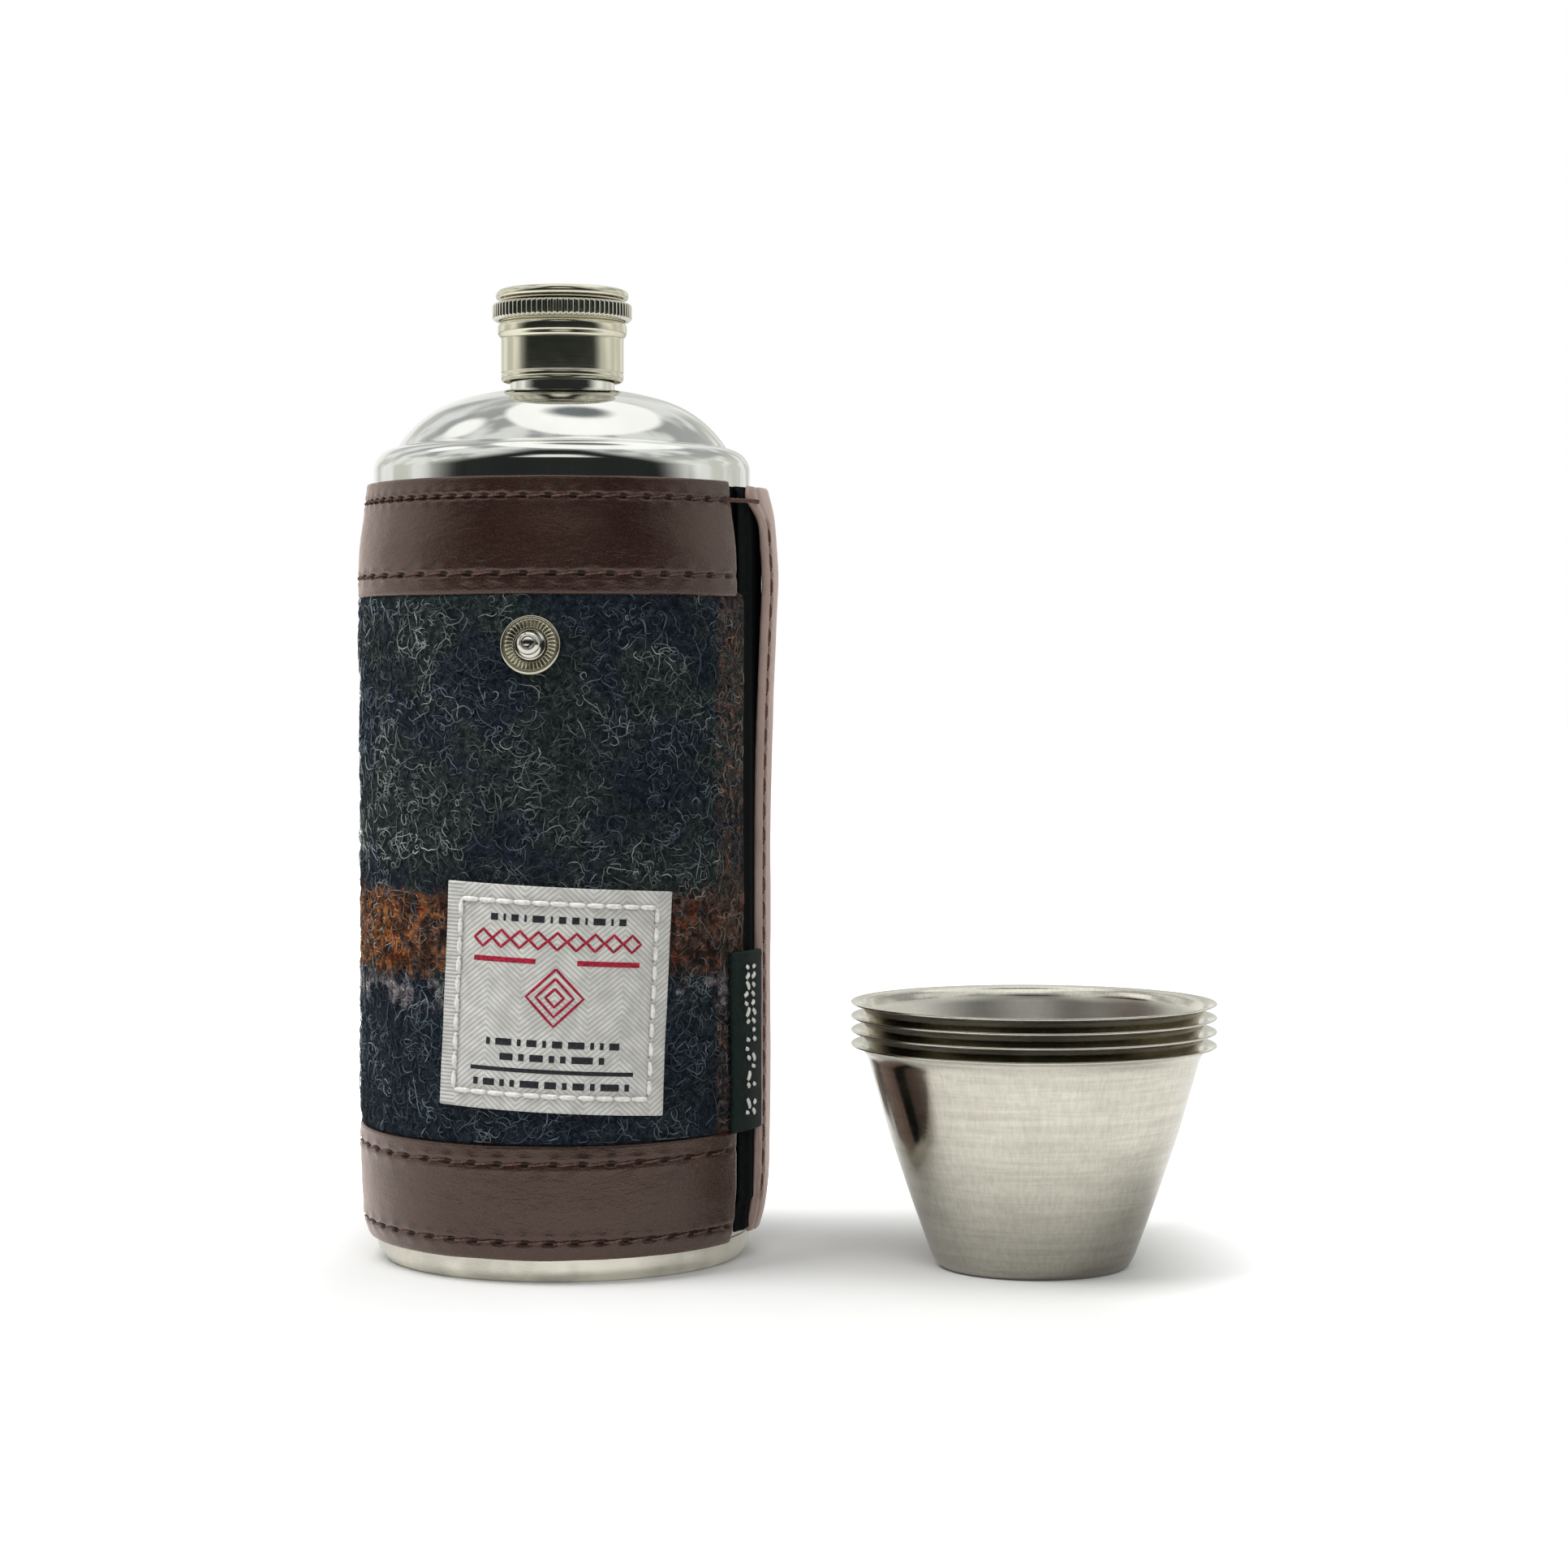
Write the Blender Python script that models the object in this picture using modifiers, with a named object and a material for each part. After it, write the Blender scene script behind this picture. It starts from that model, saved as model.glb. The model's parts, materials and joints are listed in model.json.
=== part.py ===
"""Hunter's flask: a round steel bottle in a sewn tweed and leather sleeve, with its screw cap,
its press-stud strap and the four nested cups that stand beside it.

The flask's axis is Z, its base stands on z = 0 and the press stud faces -Y. Dimensions are in
millimetres, and the builder functions turn them into metres. An azimuth is in degrees round Z,
from 0 at the stud (-Y), growing towards +X. Run: blender --background --python part.py
"""

from math import cos, degrees, pi, radians, sin

import bmesh
import bpy
from mathutils import Euler, Vector

MM = 0.001
GAP = 0.3  # clearance between pieces that touch on the real flask
SMALL_STEP = 0.01 * MM  # merge distance for points that meet on the axis

# Bottle
BODY_R = 32.3
SHEET = 0.6  # steel sheet of the wall, the shoulder and the base
BASE_TOP = 4.6  # the base pan's skirt ends here, under the sleeve's lower edge
WALL_TOP = 130.8
SHOULDER_R = 3.9  # rounding from the wall to the ledge that the cups' rims stand on
SHOULDER_Z = 134.6  # height of the centre of that rounding
KNUCKLE_R = 18.9  # the dome's outer arc
KNUCKLE_CENTRE = (12.2, 128.8)
KNUCKLE_FROM, KNUCKLE_TO = 33, 74  # degrees above horizontal
CROWN_R = 63.0  # the flatter arc from the knuckle to the neck

# Neck and cap
NECK_BORE_R = 7.0
NECK_THREAD_R = 8.2
NECK_COLLAR_R = 9.1
NECK_FOOT = 146.9
COLLAR_TOP = 149.9
NECK_TOP = 158.5
CAP_BOTTOM = 150.2
CAP_SKIRT_R = 10.55
CAP_BEAD_R = 11.1
BEAD_BOTTOM = 158.2
CAP_RING_R = 11.95
CAP_RIDGES = 76
RING_BOTTOM, RING_TOP = 160.6, 163.6
CAP_TOP = 166.0
SKIRT_WALL = 0.55
CAP_LID = 2.2  # thickness of the closed top of the cap's shell
RING_WALL = 1.1
KNURL_DEPTH = 0.45
INSERT_RISE = 1.3  # the threaded insert starts this far above the skirt's edge
THREAD_CLEARANCE = 0.4

# Sleeve
TWEED_BOTTOM, TWEED_TOP = 23.4, 113.3
LINING_R = 33.1
LINING_BOTTOM, LINING_TOP = 12.4, 126.0
LINING_SHEET = 0.5
TWEED_R = 34.7
TWEED_SHEET = 1.3
BAND_SHEET = 0.8
SEAM_AZIMUTH = 95.0
TWEED_END = 25.4  # degrees from the seam to each end of the tweed
BAND_END = 30.3  # and to each end of the leather bands
BACKING_END = 24.0
STRIP_HALF_WIDTH = 16.0  # degrees
STRIP_SHEET = 0.9
BACKING_SHEET = 0.4
LABEL_SIZE = (38.5, 36.8)
LABEL_AZIMUTH, LABEL_Z, LABEL_TILT = 6.2, 47.0, -3.0
LABEL_R, LABEL_SHEET = 35.45, 0.45
TAG_FROM, TAG_TO = 60.2, 78.4
TAG_BOTTOM, TAG_TOP = 23.2, 53.6
TAG_R, TAG_SHEET = 36.0, 0.8

# Outer outlines of the leather, as (radius, height) from top to bottom
TOP_BAND = [(33.4, 132.0), (33.9, 127.0), (34.7, 121.5), (34.9, 116.0), (34.9, 113.4)]
BOTTOM_BAND = [(34.85, 23.3), (34.8, 15.0), (34.5, 11.0), (34.2, 7.5), (33.5, 5.0)]
SEAM_STRIP = [
    (35.2, 132.0), (36.3, 127.0), (36.8, 121.0), (37.05, 115.0), (36.7, 107.0), (36.1, 92.0),
    (35.8, 80.0), (35.7, 60.0), (35.7, 30.0), (35.5, 16.0), (34.8, 9.0), (33.7, 4.6),
]
SEAM_BACKING = [(33.4, 131.0), (34.2, 122.0), (34.2, 16.0), (33.9, 12.0), (33.3, 8.0)]

# Press stud, in its own frame: z runs out of the cloth along the stud's axis
STUD_Z = 104.7
STUD_TILT = 8.0  # degrees that the stud leans up, towards the strap that closes on it
STUD_FLANGE_R = 4.95
STUD_BALL_R = 2.0
STUD_BALL_TOP = 3.4
SHANK_R = 1.2
PLATE_R, PLATE_SHEET = 4.0, 0.4  # the plate that the shank is riveted to

# Strap: one flat leather strip that is hinged to the sleeve's back edge
STRAP_WIDTH = 19.0
STRAP_SHEET = 1.8
STRAP_TRIM = 0.8  # cut off each piece at a bend, so that its neighbour can turn
STRAP_ROOT = (37.8, 133.5)  # (y, z) of the first bend
STRAP_PIECES = [
    # node, length, heading in degrees from +Y towards +Z as it hangs undone
    ("strap_back", 55.4, -85.0),
    ("strap_crown", 34.4, -84.0),
    ("strap_front", 39.9, -72.0),
    ("strap_bend", 8.0, -16.3),
    ("strap_drop", 10.2, -16.3),
    ("strap_tab", 35.0, 5.2),
]
SOCKET_REACH = 26.0  # from the tab's bend to the middle of its press socket
SOCKET_R = 4.6
SOCKET_HEIGHT = 2.3
SOCKET_MOUTH_R = 2.35
SPRING_R, SPRING_WIRE_R = 2.85, 0.2
SNAP_CAP_R = 6.0
ANCHOR_BOTTOM, ANCHOR_TOP = 108.0, 131.6
ANCHOR_R, ANCHOR_SHEET = 36.4, 1.1

# Cups
CUP_PLACE = (81.1, -6.1)
CUP_COUNT = 4
CUP_PITCH = 2.35  # each cup stands this much higher than the one it is nested in
CUP_SHEET = 0.35
CUP_OUTLINE = [
    (30.7, 37.7), (29.2, 37.2), (28.1, 35.7), (24.4, 22.6), (20.9, 12.2), (17.0, 1.5),
    (15.6, 0.0), (0.0, 0.0),
]

# Numbers of flats round each kind of piece
BODY_STEPS, SLEEVE_STEPS, CAP_STEPS, CUP_STEPS, STUD_STEPS = 40, 36, 36, 30, 20

# Finishes: linear colour, roughness, metallic
POLISHED_STEEL = ((0.62, 0.61, 0.58), 0.12, 1.0)
SATIN_STEEL = ((0.55, 0.53, 0.49), 0.35, 1.0)
NICKEL = ((0.50, 0.48, 0.42), 0.2, 1.0)
BLACK_CLOTH = ((0.006, 0.008, 0.008), 0.9, 0.0)
TWEED = ((0.03, 0.037, 0.042), 0.95, 0.0)
LEATHER = ((0.09, 0.04, 0.032), 0.45, 0.0)
WHITE_CLOTH = ((0.6, 0.6, 0.57), 0.85, 0.0)
GREEN_CLOTH = ((0.008, 0.018, 0.016), 0.8, 0.0)
SILICONE = ((0.55, 0.55, 0.53), 0.6, 0.0)


def make_collection(name):
    """A new collection linked to the scene."""
    collection = bpy.data.collections.new(name)
    bpy.context.scene.collection.children.link(collection)
    return collection


def start_afresh():
    """Empties the scene and makes the collections for the parts and for the cutters."""
    for ob in list(bpy.data.objects):
        bpy.data.objects.remove(ob, do_unlink=True)
    return make_collection("hunter_flask"), make_collection("cutters")


PARTS, CUTTERS = start_afresh()


def add_object(name, data, look=None):
    """Puts data in the scene: a part where it has a look, and otherwise a hidden cutter."""
    ob = bpy.data.objects.new(name, data)
    if look is None:
        CUTTERS.objects.link(ob)
        ob.hide_render = True
        ob.display_type = "WIRE"
        return ob
    PARTS.objects.link(ob)
    colour, roughness, metallic = look
    material = bpy.data.materials.new(name + "_finish")
    material.use_nodes = True
    shader = material.node_tree.nodes["Principled BSDF"]
    shader.inputs["Base Color"].default_value = (*colour, 1.0)
    shader.inputs["Roughness"].default_value = roughness
    shader.inputs["Metallic"].default_value = metallic
    material.diffuse_color = (*colour, 1.0)
    data.materials.append(material)
    return ob


def line_mesh(name, outline, closed):
    """A mesh of edges through (radius, height) points in the XZ plane."""
    count = len(outline)
    edges = [(i, i + 1) for i in range(count - 1)]
    if closed:
        edges.append((count - 1, 0))
    mesh = bpy.data.meshes.new(name)
    mesh.from_pydata([(r * MM, 0.0, z * MM) for r, z in outline], edges, [])
    return mesh


def add_screw(ob, steps, sweep=360.0):
    """Turns the object's outline round its Z axis."""
    screw = ob.modifiers.new("turn", "SCREW")
    screw.axis = "Z"
    screw.angle = radians(sweep)
    screw.steps = screw.render_steps = steps
    screw.use_merge_vertices = True
    screw.merge_threshold = SMALL_STEP
    screw.use_smooth_shade = True


def add_thickness(ob, sheet):
    """Gives an open surface its sheet thickness, inwards."""
    solidify = ob.modifiers.new("sheet", "SOLIDIFY")
    solidify.thickness = sheet * MM
    solidify.offset = -1.0
    solidify.use_even_offset = True


def cut(ob, cutter):
    """Subtracts a cutter from the object."""
    boolean = ob.modifiers.new("cut", "BOOLEAN")
    boolean.operation = "DIFFERENCE"
    boolean.solver = "EXACT"
    boolean.object = cutter


def turned(name, outline, look, steps, closed=False):
    """A solid turned from an outline: open ones start and end on the axis, closed ones are rings."""
    ob = add_object(name, line_mesh(name, outline, closed), look)
    add_screw(ob, steps)
    return ob


def turned_ring(name, inner_r, outer_r, bottom, top, look, steps):
    """A plain ring or tube of rectangular section."""
    outline = [(outer_r, top), (outer_r, bottom), (inner_r, bottom), (inner_r, top)]
    return turned(name, outline, look, steps, closed=True)


def turned_shell(name, outline, sheet, look, steps, azimuths=None):
    """A sheet turned from its outer outline, all round or from one azimuth to another."""
    ob = add_object(name, line_mesh(name, outline, closed=False), look)
    if azimuths is None:
        add_screw(ob, steps)
    else:
        add_screw(ob, steps, azimuths[1] - azimuths[0])
        ob.rotation_euler.z = radians(azimuths[0] - 90.0)
    add_thickness(ob, sheet)
    return ob


def around(radius, azimuth, height):
    """The point, in metres, at a radius, azimuth and height."""
    turn = radians(azimuth)
    return Vector((radius * sin(turn), -radius * cos(turn), height)) * MM


def wrapped_sheet(name, look, sheet, columns, rows, place):
    """A rectangular sheet laid on the sleeve: place(u, v) gives each point for u, v from 0 to 1."""
    mesh = bpy.data.meshes.new(name)
    grid = bmesh.new()
    bmesh.ops.create_grid(grid, x_segments=columns, y_segments=rows, size=0.5)
    for vertex in grid.verts:
        vertex.co = place(vertex.co.x + 0.5, vertex.co.y + 0.5)
    bmesh.ops.recalc_face_normals(grid, faces=grid.faces)
    middle = min(grid.faces, key=lambda face: abs(face.calc_center_median().z - place(0.5, 0.5).z))
    if middle.normal.dot(middle.calc_center_median() * Vector((1, 1, 0))) < 0:
        bmesh.ops.reverse_faces(grid, faces=grid.faces)
    grid.to_mesh(mesh)
    grid.free()
    mesh.shade_smooth()
    ob = add_object(name, mesh, look)
    add_thickness(ob, sheet)
    return ob


def arc(centre, radius, start, end, points):
    """Points of an arc in the (radius, height) plane, with angles in degrees above +radius."""
    angles = [radians(start + (end - start) * i / (points - 1)) for i in range(points)]
    return [(centre[0] + radius * cos(a), centre[1] + radius * sin(a)) for a in angles]


def radius_on(outline, height):
    """The radius of an outline, given from top to bottom, at a height."""
    for (r_above, z_above), (r_below, z_below) in zip(outline, outline[1:]):
        if z_below <= height <= z_above:
            share = (height - z_below) / (z_above - z_below)
            return r_below + share * (r_above - r_below)
    return outline[0][0] if height > outline[0][1] else outline[-1][0]


def shoulder_outline():
    """The outside of the dome, the ledge and the shoulder, from the neck down to the wall."""
    knuckle = arc(KNUCKLE_CENTRE, KNUCKLE_R, KNUCKLE_TO, KNUCKLE_FROM, 7)
    edge_r, edge_z = knuckle[0]
    neck_r = NECK_COLLAR_R + GAP
    crown_rise = (edge_r**2 - neck_r**2) / (2 * CROWN_R)
    rounding = arc((BODY_R - SHOULDER_R, SHOULDER_Z), SHOULDER_R, 80, 0, 4)
    return [(neck_r, edge_z + crown_rise)] + knuckle + rounding + [(BODY_R, WALL_TOP + GAP)]


def build_bottle():
    """The drawn wall, its pressed base, its domed shoulder and the threaded neck."""
    turned_ring("bottle_wall", BODY_R - SHEET, BODY_R, BASE_TOP + GAP, WALL_TOP, SATIN_STEEL, BODY_STEPS)
    base = [(BODY_R - 0.3, BASE_TOP), (BODY_R - 0.4, 1.6), (BODY_R - 0.8, 0.5), (BODY_R - 1.7, 0.0)]
    turned_shell("bottle_base", base + [(0.0, 0.0)], SHEET, SATIN_STEEL, BODY_STEPS)
    turned_shell("bottle_shoulder", shoulder_outline(), SHEET, POLISHED_STEEL, BODY_STEPS)
    neck = [
        (NECK_THREAD_R, NECK_TOP),
        (NECK_THREAD_R, COLLAR_TOP + GAP),
        (NECK_COLLAR_R, COLLAR_TOP),
        (NECK_COLLAR_R, NECK_FOOT),
        (NECK_BORE_R, NECK_FOOT),
        (NECK_BORE_R, NECK_TOP),
    ]
    turned("neck_collar", neck, NICKEL, CAP_STEPS, closed=True)


def cap_outline():
    """The cap's section: a beaded skirt, a seat for the knurled ring and a closed top."""
    bore_r = CAP_SKIRT_R - SKIRT_WALL
    seat_r = CAP_RING_R - RING_WALL
    top = RING_TOP - GAP
    return [
        (0.0, top),
        (seat_r - GAP, top),
        (seat_r - GAP, RING_BOTTOM - GAP),
        (CAP_BEAD_R, RING_BOTTOM - 0.8),
        (CAP_BEAD_R, BEAD_BOTTOM),
        (CAP_SKIRT_R, BEAD_BOTTOM - 0.6),
        (CAP_SKIRT_R, CAP_BOTTOM + 0.9),
        (CAP_SKIRT_R - 0.35, CAP_BOTTOM),
        (bore_r, CAP_BOTTOM),
        (bore_r, top - CAP_LID),
        (0.0, top - CAP_LID),
    ]


def build_knurled_ring():
    """The ring that the fingers turn: ridges all round, cut as one flat outline with a round hole."""
    curve = bpy.data.curves.new("cap_knurled_ring", "CURVE")
    curve.dimensions = "2D"
    curve.fill_mode = "BOTH"
    curve.extrude = (RING_TOP - RING_BOTTOM) / 2 * MM
    ridges = [CAP_RING_R if i % 2 else CAP_RING_R - KNURL_DEPTH for i in range(2 * CAP_RIDGES)]
    hole = [CAP_RING_R - RING_WALL] * CAP_STEPS
    for radii in (ridges, hole):
        spline = curve.splines.new("POLY")
        spline.points.add(len(radii) - 1)
        spline.use_cyclic_u = True
        for i, (point, r) in enumerate(zip(spline.points, radii)):
            turn = 2 * pi * i / len(radii)
            point.co = (r * cos(turn) * MM, r * sin(turn) * MM, 0.0, 1.0)
    ring = add_object("cap_knurled_ring", curve, NICKEL)
    ring.location.z = (RING_BOTTOM + RING_TOP) / 2 * MM


def build_cap():
    """The screw cap: shell, threaded insert, seal, knurled ring and the disc let into its top."""
    turned("cap_shell", cap_outline(), NICKEL, CAP_STEPS)
    insert_r = CAP_SKIRT_R - SKIRT_WALL - GAP
    bore_r = NECK_THREAD_R + THREAD_CLEARANCE
    insert_bottom = CAP_BOTTOM + INSERT_RISE
    turned_ring("cap_thread_insert", bore_r, insert_r, insert_bottom, NECK_TOP, SATIN_STEEL, CAP_STEPS)
    seal_bottom = NECK_TOP + GAP
    seal_top = RING_TOP - GAP - CAP_LID - GAP
    seal = [(0.0, seal_top), (insert_r, seal_top), (insert_r, seal_bottom), (0.0, seal_bottom)]
    turned("cap_seal", seal, SILICONE, CAP_STEPS)
    build_knurled_ring()
    disc_bottom = RING_TOP + GAP
    disc = [
        (0.0, CAP_TOP - 0.5),
        (9.3, CAP_TOP - 0.5),
        (9.8, CAP_TOP),
        (10.7, CAP_TOP),
        (11.3, CAP_TOP - 0.7),
        (11.4, disc_bottom),
        (0.0, disc_bottom),
    ]
    turned("cap_top_disc", disc, NICKEL, CAP_STEPS)


def stud_place():
    """Where the stud's axis leaves the tweed, and the turn that takes +Z to that axis."""
    return around(TWEED_R, 0.0, STUD_Z), Euler((radians(90.0 - STUD_TILT), 0.0, 0.0))


def build_stud():
    """The male half of the press stud: flange, ball post and the plate behind the tweed."""
    flange = [
        (STUD_FLANGE_R - 0.4, 1.1),
        (STUD_FLANGE_R, 0.7),
        (STUD_FLANGE_R, 0.3),
        (STUD_FLANGE_R - 0.4, 0.0),
        (SHANK_R + GAP, 0.0),
        (SHANK_R + GAP, 0.7),
        (3.7, 0.7),
    ]
    post = [
        (0.0, STUD_BALL_TOP),
        (1.2, STUD_BALL_TOP - 0.15),
        (1.85, STUD_BALL_TOP - 0.5),
        (STUD_BALL_R, STUD_BALL_TOP - 0.9),
        (1.75, STUD_BALL_TOP - 1.3),
        (1.6, 1.6),
        (2.5, 1.2),
        (2.5, 1.0),
        (SHANK_R, 1.0),
        (SHANK_R, -0.9),
        (0.0, -0.9),
    ]
    pieces = [
        turned("stud_flange", flange, NICKEL, STUD_STEPS, closed=True),
        turned("stud_post", post, NICKEL, STUD_STEPS),
    ]
    for piece in pieces:
        piece.location, piece.rotation_euler = stud_place()
    disc = [(0.0, PLATE_SHEET), (PLATE_R, PLATE_SHEET), (PLATE_R, 0.0), (0.0, 0.0)]
    plate = turned("stud_back_plate", disc, SATIN_STEEL, STUD_STEPS)
    plate.location = around(BODY_R + 0.35, 0.0, STUD_Z)
    plate.rotation_euler.x = radians(90.0)


def plug_cutter(name, radius, bottom, top, location, rotation):
    """A round cutter along its own Z axis."""
    outline = [(0.0, top), (radius, top), (radius, bottom), (0.0, bottom)]
    cutter = turned(name, outline, None, STUD_STEPS)
    cutter.location = location
    cutter.rotation_euler = rotation
    return cutter


def build_sleeve():
    """Lining, tweed panel and leather bands, each open at the side seam except the lining."""
    inner_r = LINING_R - LINING_SHEET
    lining = turned_ring(
        "sleeve_lining", inner_r, LINING_R, LINING_BOTTOM, LINING_TOP, BLACK_CLOTH, SLEEVE_STEPS
    )
    level = Euler((radians(90.0), 0.0, 0.0))
    plate_hole = plug_cutter(
        "plate_hole", PLATE_R + GAP, -3.0, 3.0, around(LINING_R, 0.0, STUD_Z), level
    )
    cut(lining, plate_hole)

    ends = (SEAM_AZIMUTH + TWEED_END, SEAM_AZIMUTH - TWEED_END + 360.0)
    outline = [(TWEED_R, TWEED_TOP - GAP), (TWEED_R, TWEED_BOTTOM + GAP)]
    tweed = turned_shell("tweed_panel", outline, TWEED_SHEET, TWEED, SLEEVE_STEPS, ends)
    place, turn = stud_place()
    cut(tweed, plug_cutter("shank_hole", SHANK_R + GAP, -5.0, 5.0, place, turn))
    cut(tweed, plug_cutter("flange_seat", STUD_FLANGE_R + GAP, -GAP, 5.0, place, turn))

    ends = (SEAM_AZIMUTH + BAND_END, SEAM_AZIMUTH - BAND_END + 360.0)
    turned_shell("top_leather_band", TOP_BAND, BAND_SHEET, LEATHER, SLEEVE_STEPS, ends)
    turned_shell("bottom_leather_band", BOTTOM_BAND, BAND_SHEET, LEATHER, SLEEVE_STEPS, ends)


def build_seam():
    """The black backing between the panel's ends and the leather strip sewn over it."""

    def lay(outline, half_width):
        top, bottom = outline[0][1], outline[-1][1]

        def place(u, v):
            height = bottom + v * (top - bottom)
            azimuth = SEAM_AZIMUTH + (2 * u - 1) * half_width
            return around(radius_on(outline, height), azimuth, height)

        return place

    wrapped_sheet(
        "seam_backing", BLACK_CLOTH, BACKING_SHEET, 8, 12, lay(SEAM_BACKING, BACKING_END)
    )
    wrapped_sheet("seam_strip", LEATHER, STRIP_SHEET, 6, 26, lay(SEAM_STRIP, STRIP_HALF_WIDTH))


def build_label():
    """The woven label sewn a little crooked on the front of the tweed."""
    width, height = LABEL_SIZE
    tilt = radians(LABEL_TILT)

    def place(u, v):
        across, up = (u - 0.5) * width, (v - 0.5) * height
        turned_across = across * cos(tilt) - up * sin(tilt)
        turned_up = across * sin(tilt) + up * cos(tilt)
        azimuth = LABEL_AZIMUTH + degrees(turned_across / LABEL_R)
        return around(LABEL_R, azimuth, LABEL_Z + turned_up)

    wrapped_sheet("woven_label", WHITE_CLOTH, LABEL_SHEET, 10, 6, place)


def build_side_tag():
    """The folded tag that is caught under the seam strip."""

    def place(u, v):
        azimuth = TAG_FROM + u * (TAG_TO - TAG_FROM)
        return around(TAG_R, azimuth, TAG_BOTTOM + v * (TAG_TOP - TAG_BOTTOM))

    wrapped_sheet("side_tag", GREEN_CLOTH, TAG_SHEET, 5, 4, place)


def strap_bends():
    """The (y, z) point and the heading of each strap piece's bend, as the strap hangs."""
    y, z = STRAP_ROOT
    bends = {}
    for name, length, heading in STRAP_PIECES:
        bends[name] = (y, z, radians(heading))
        y += length * cos(radians(heading))
        z += length * sin(radians(heading))
    return bends


def strap_outline(length, round_end):
    """The flat outline of one strap piece, along +Y from its bend."""
    half = STRAP_WIDTH / 2
    near, far = STRAP_TRIM, length - STRAP_TRIM
    if not round_end:
        return [(-half, near), (half, near), (half, far), (-half, far)]
    end = arc((0.0, length - half), half, 0, 180, 13)
    return [(-half, near), (half, near)] + end


def add_strap_piece(name, length, bend, round_end):
    """One stiff length of the strap, with its origin on its bend's axis."""
    curve = bpy.data.curves.new(name, "CURVE")
    curve.dimensions = "2D"
    curve.fill_mode = "BOTH"
    curve.extrude = STRAP_SHEET / 2 * MM
    outline = strap_outline(length, round_end)
    spline = curve.splines.new("POLY")
    spline.points.add(len(outline) - 1)
    spline.use_cyclic_u = True
    for point, (x, y) in zip(spline.points, outline):
        point.co = (x * MM, y * MM, 0.0, 1.0)
    piece = add_object(name, curve, LEATHER)
    y, z, heading = bend
    piece.location = (0.0, y * MM, z * MM)
    piece.rotation_euler.x = heading


def build_strap():
    """The strap's pieces from the sewn root to the tab, and the press socket on the tab."""
    bends = strap_bends()
    last = STRAP_PIECES[-1][0]
    for name, length, _ in STRAP_PIECES:
        add_strap_piece(name, length, bends[name], round_end=name == last)

    face = STRAP_SHEET / 2 + GAP
    rim = face + SOCKET_HEIGHT
    groove = (SOCKET_MOUTH_R + 1.0, rim - 1.5, rim - 0.6)
    socket = [
        (0.0, face + 0.3),
        (SOCKET_MOUTH_R, face + 0.3),
        (SOCKET_MOUTH_R, groove[1]),
        (groove[0], groove[1]),
        (groove[0], groove[2]),
        (SOCKET_MOUTH_R, groove[2]),
        (SOCKET_MOUTH_R, rim),
        (SOCKET_R - 0.6, rim),
        (SOCKET_R, rim - 0.6),
        (SOCKET_R, face),
        (0.0, face),
    ]
    cap_face = -face
    snap_cap = [
        (0.0, cap_face),
        (SNAP_CAP_R - 0.2, cap_face),
        (SNAP_CAP_R, cap_face - 0.3),
        (SNAP_CAP_R - 0.6, cap_face - 1.1),
        (SNAP_CAP_R - 2.4, cap_face - 1.8),
        (0.0, cap_face - 2.2),
    ]
    middle = (groove[1] + groove[2]) / 2
    wire = arc((SPRING_R, middle), SPRING_WIRE_R, 45, -225, 4)
    pieces = [
        turned("snap_socket", socket, NICKEL, STUD_STEPS),
        turned("snap_cap", snap_cap, NICKEL, STUD_STEPS),
        turned("snap_spring", wire, SATIN_STEEL, STUD_STEPS, closed=True),
    ]
    y, z, heading = bends[last]
    for piece in pieces:
        piece.location = (
            0.0,
            (y + SOCKET_REACH * cos(heading)) * MM,
            (z + SOCKET_REACH * sin(heading)) * MM,
        )
        piece.rotation_euler.x = heading


def build_strap_anchor():
    """The end of the strap that is sewn flat to the back of the sleeve."""
    half = degrees(STRAP_WIDTH / 2 / ANCHOR_R)

    def place(u, v):
        azimuth = 180.0 + (2 * u - 1) * half
        return around(ANCHOR_R, azimuth, ANCHOR_BOTTOM + v * (ANCHOR_TOP - ANCHOR_BOTTOM))

    wrapped_sheet("strap_anchor", LEATHER, ANCHOR_SHEET, 4, 3, place)


def build_cups():
    """Four equal cups, each nested in the one below."""
    for i in range(CUP_COUNT):
        cup = turned_shell(f"cup_{i + 1}", CUP_OUTLINE, CUP_SHEET, SATIN_STEEL, CUP_STEPS)
        cup.location = (CUP_PLACE[0] * MM, CUP_PLACE[1] * MM, i * CUP_PITCH * MM)


build_bottle()
build_cap()
build_sleeve()
build_seam()
build_label()
build_side_tag()
build_stud()
build_strap_anchor()
build_strap()
build_cups()
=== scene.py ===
"""The looks of the hunter's flask: a steel bottle in a sewn tweed and leather sleeve, its screw cap,
its press-stud strap and four nested cups.

Lengths are in millimetres until a mesh is made, and every place is in the CAD model's frame: the
flask's axis is Z, it stands on z = 0 and its press stud faces -Y. An azimuth is in degrees round Z,
from 0 at the stud, growing towards +X.
"""

import json
from math import cos, pi, radians, sin

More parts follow.
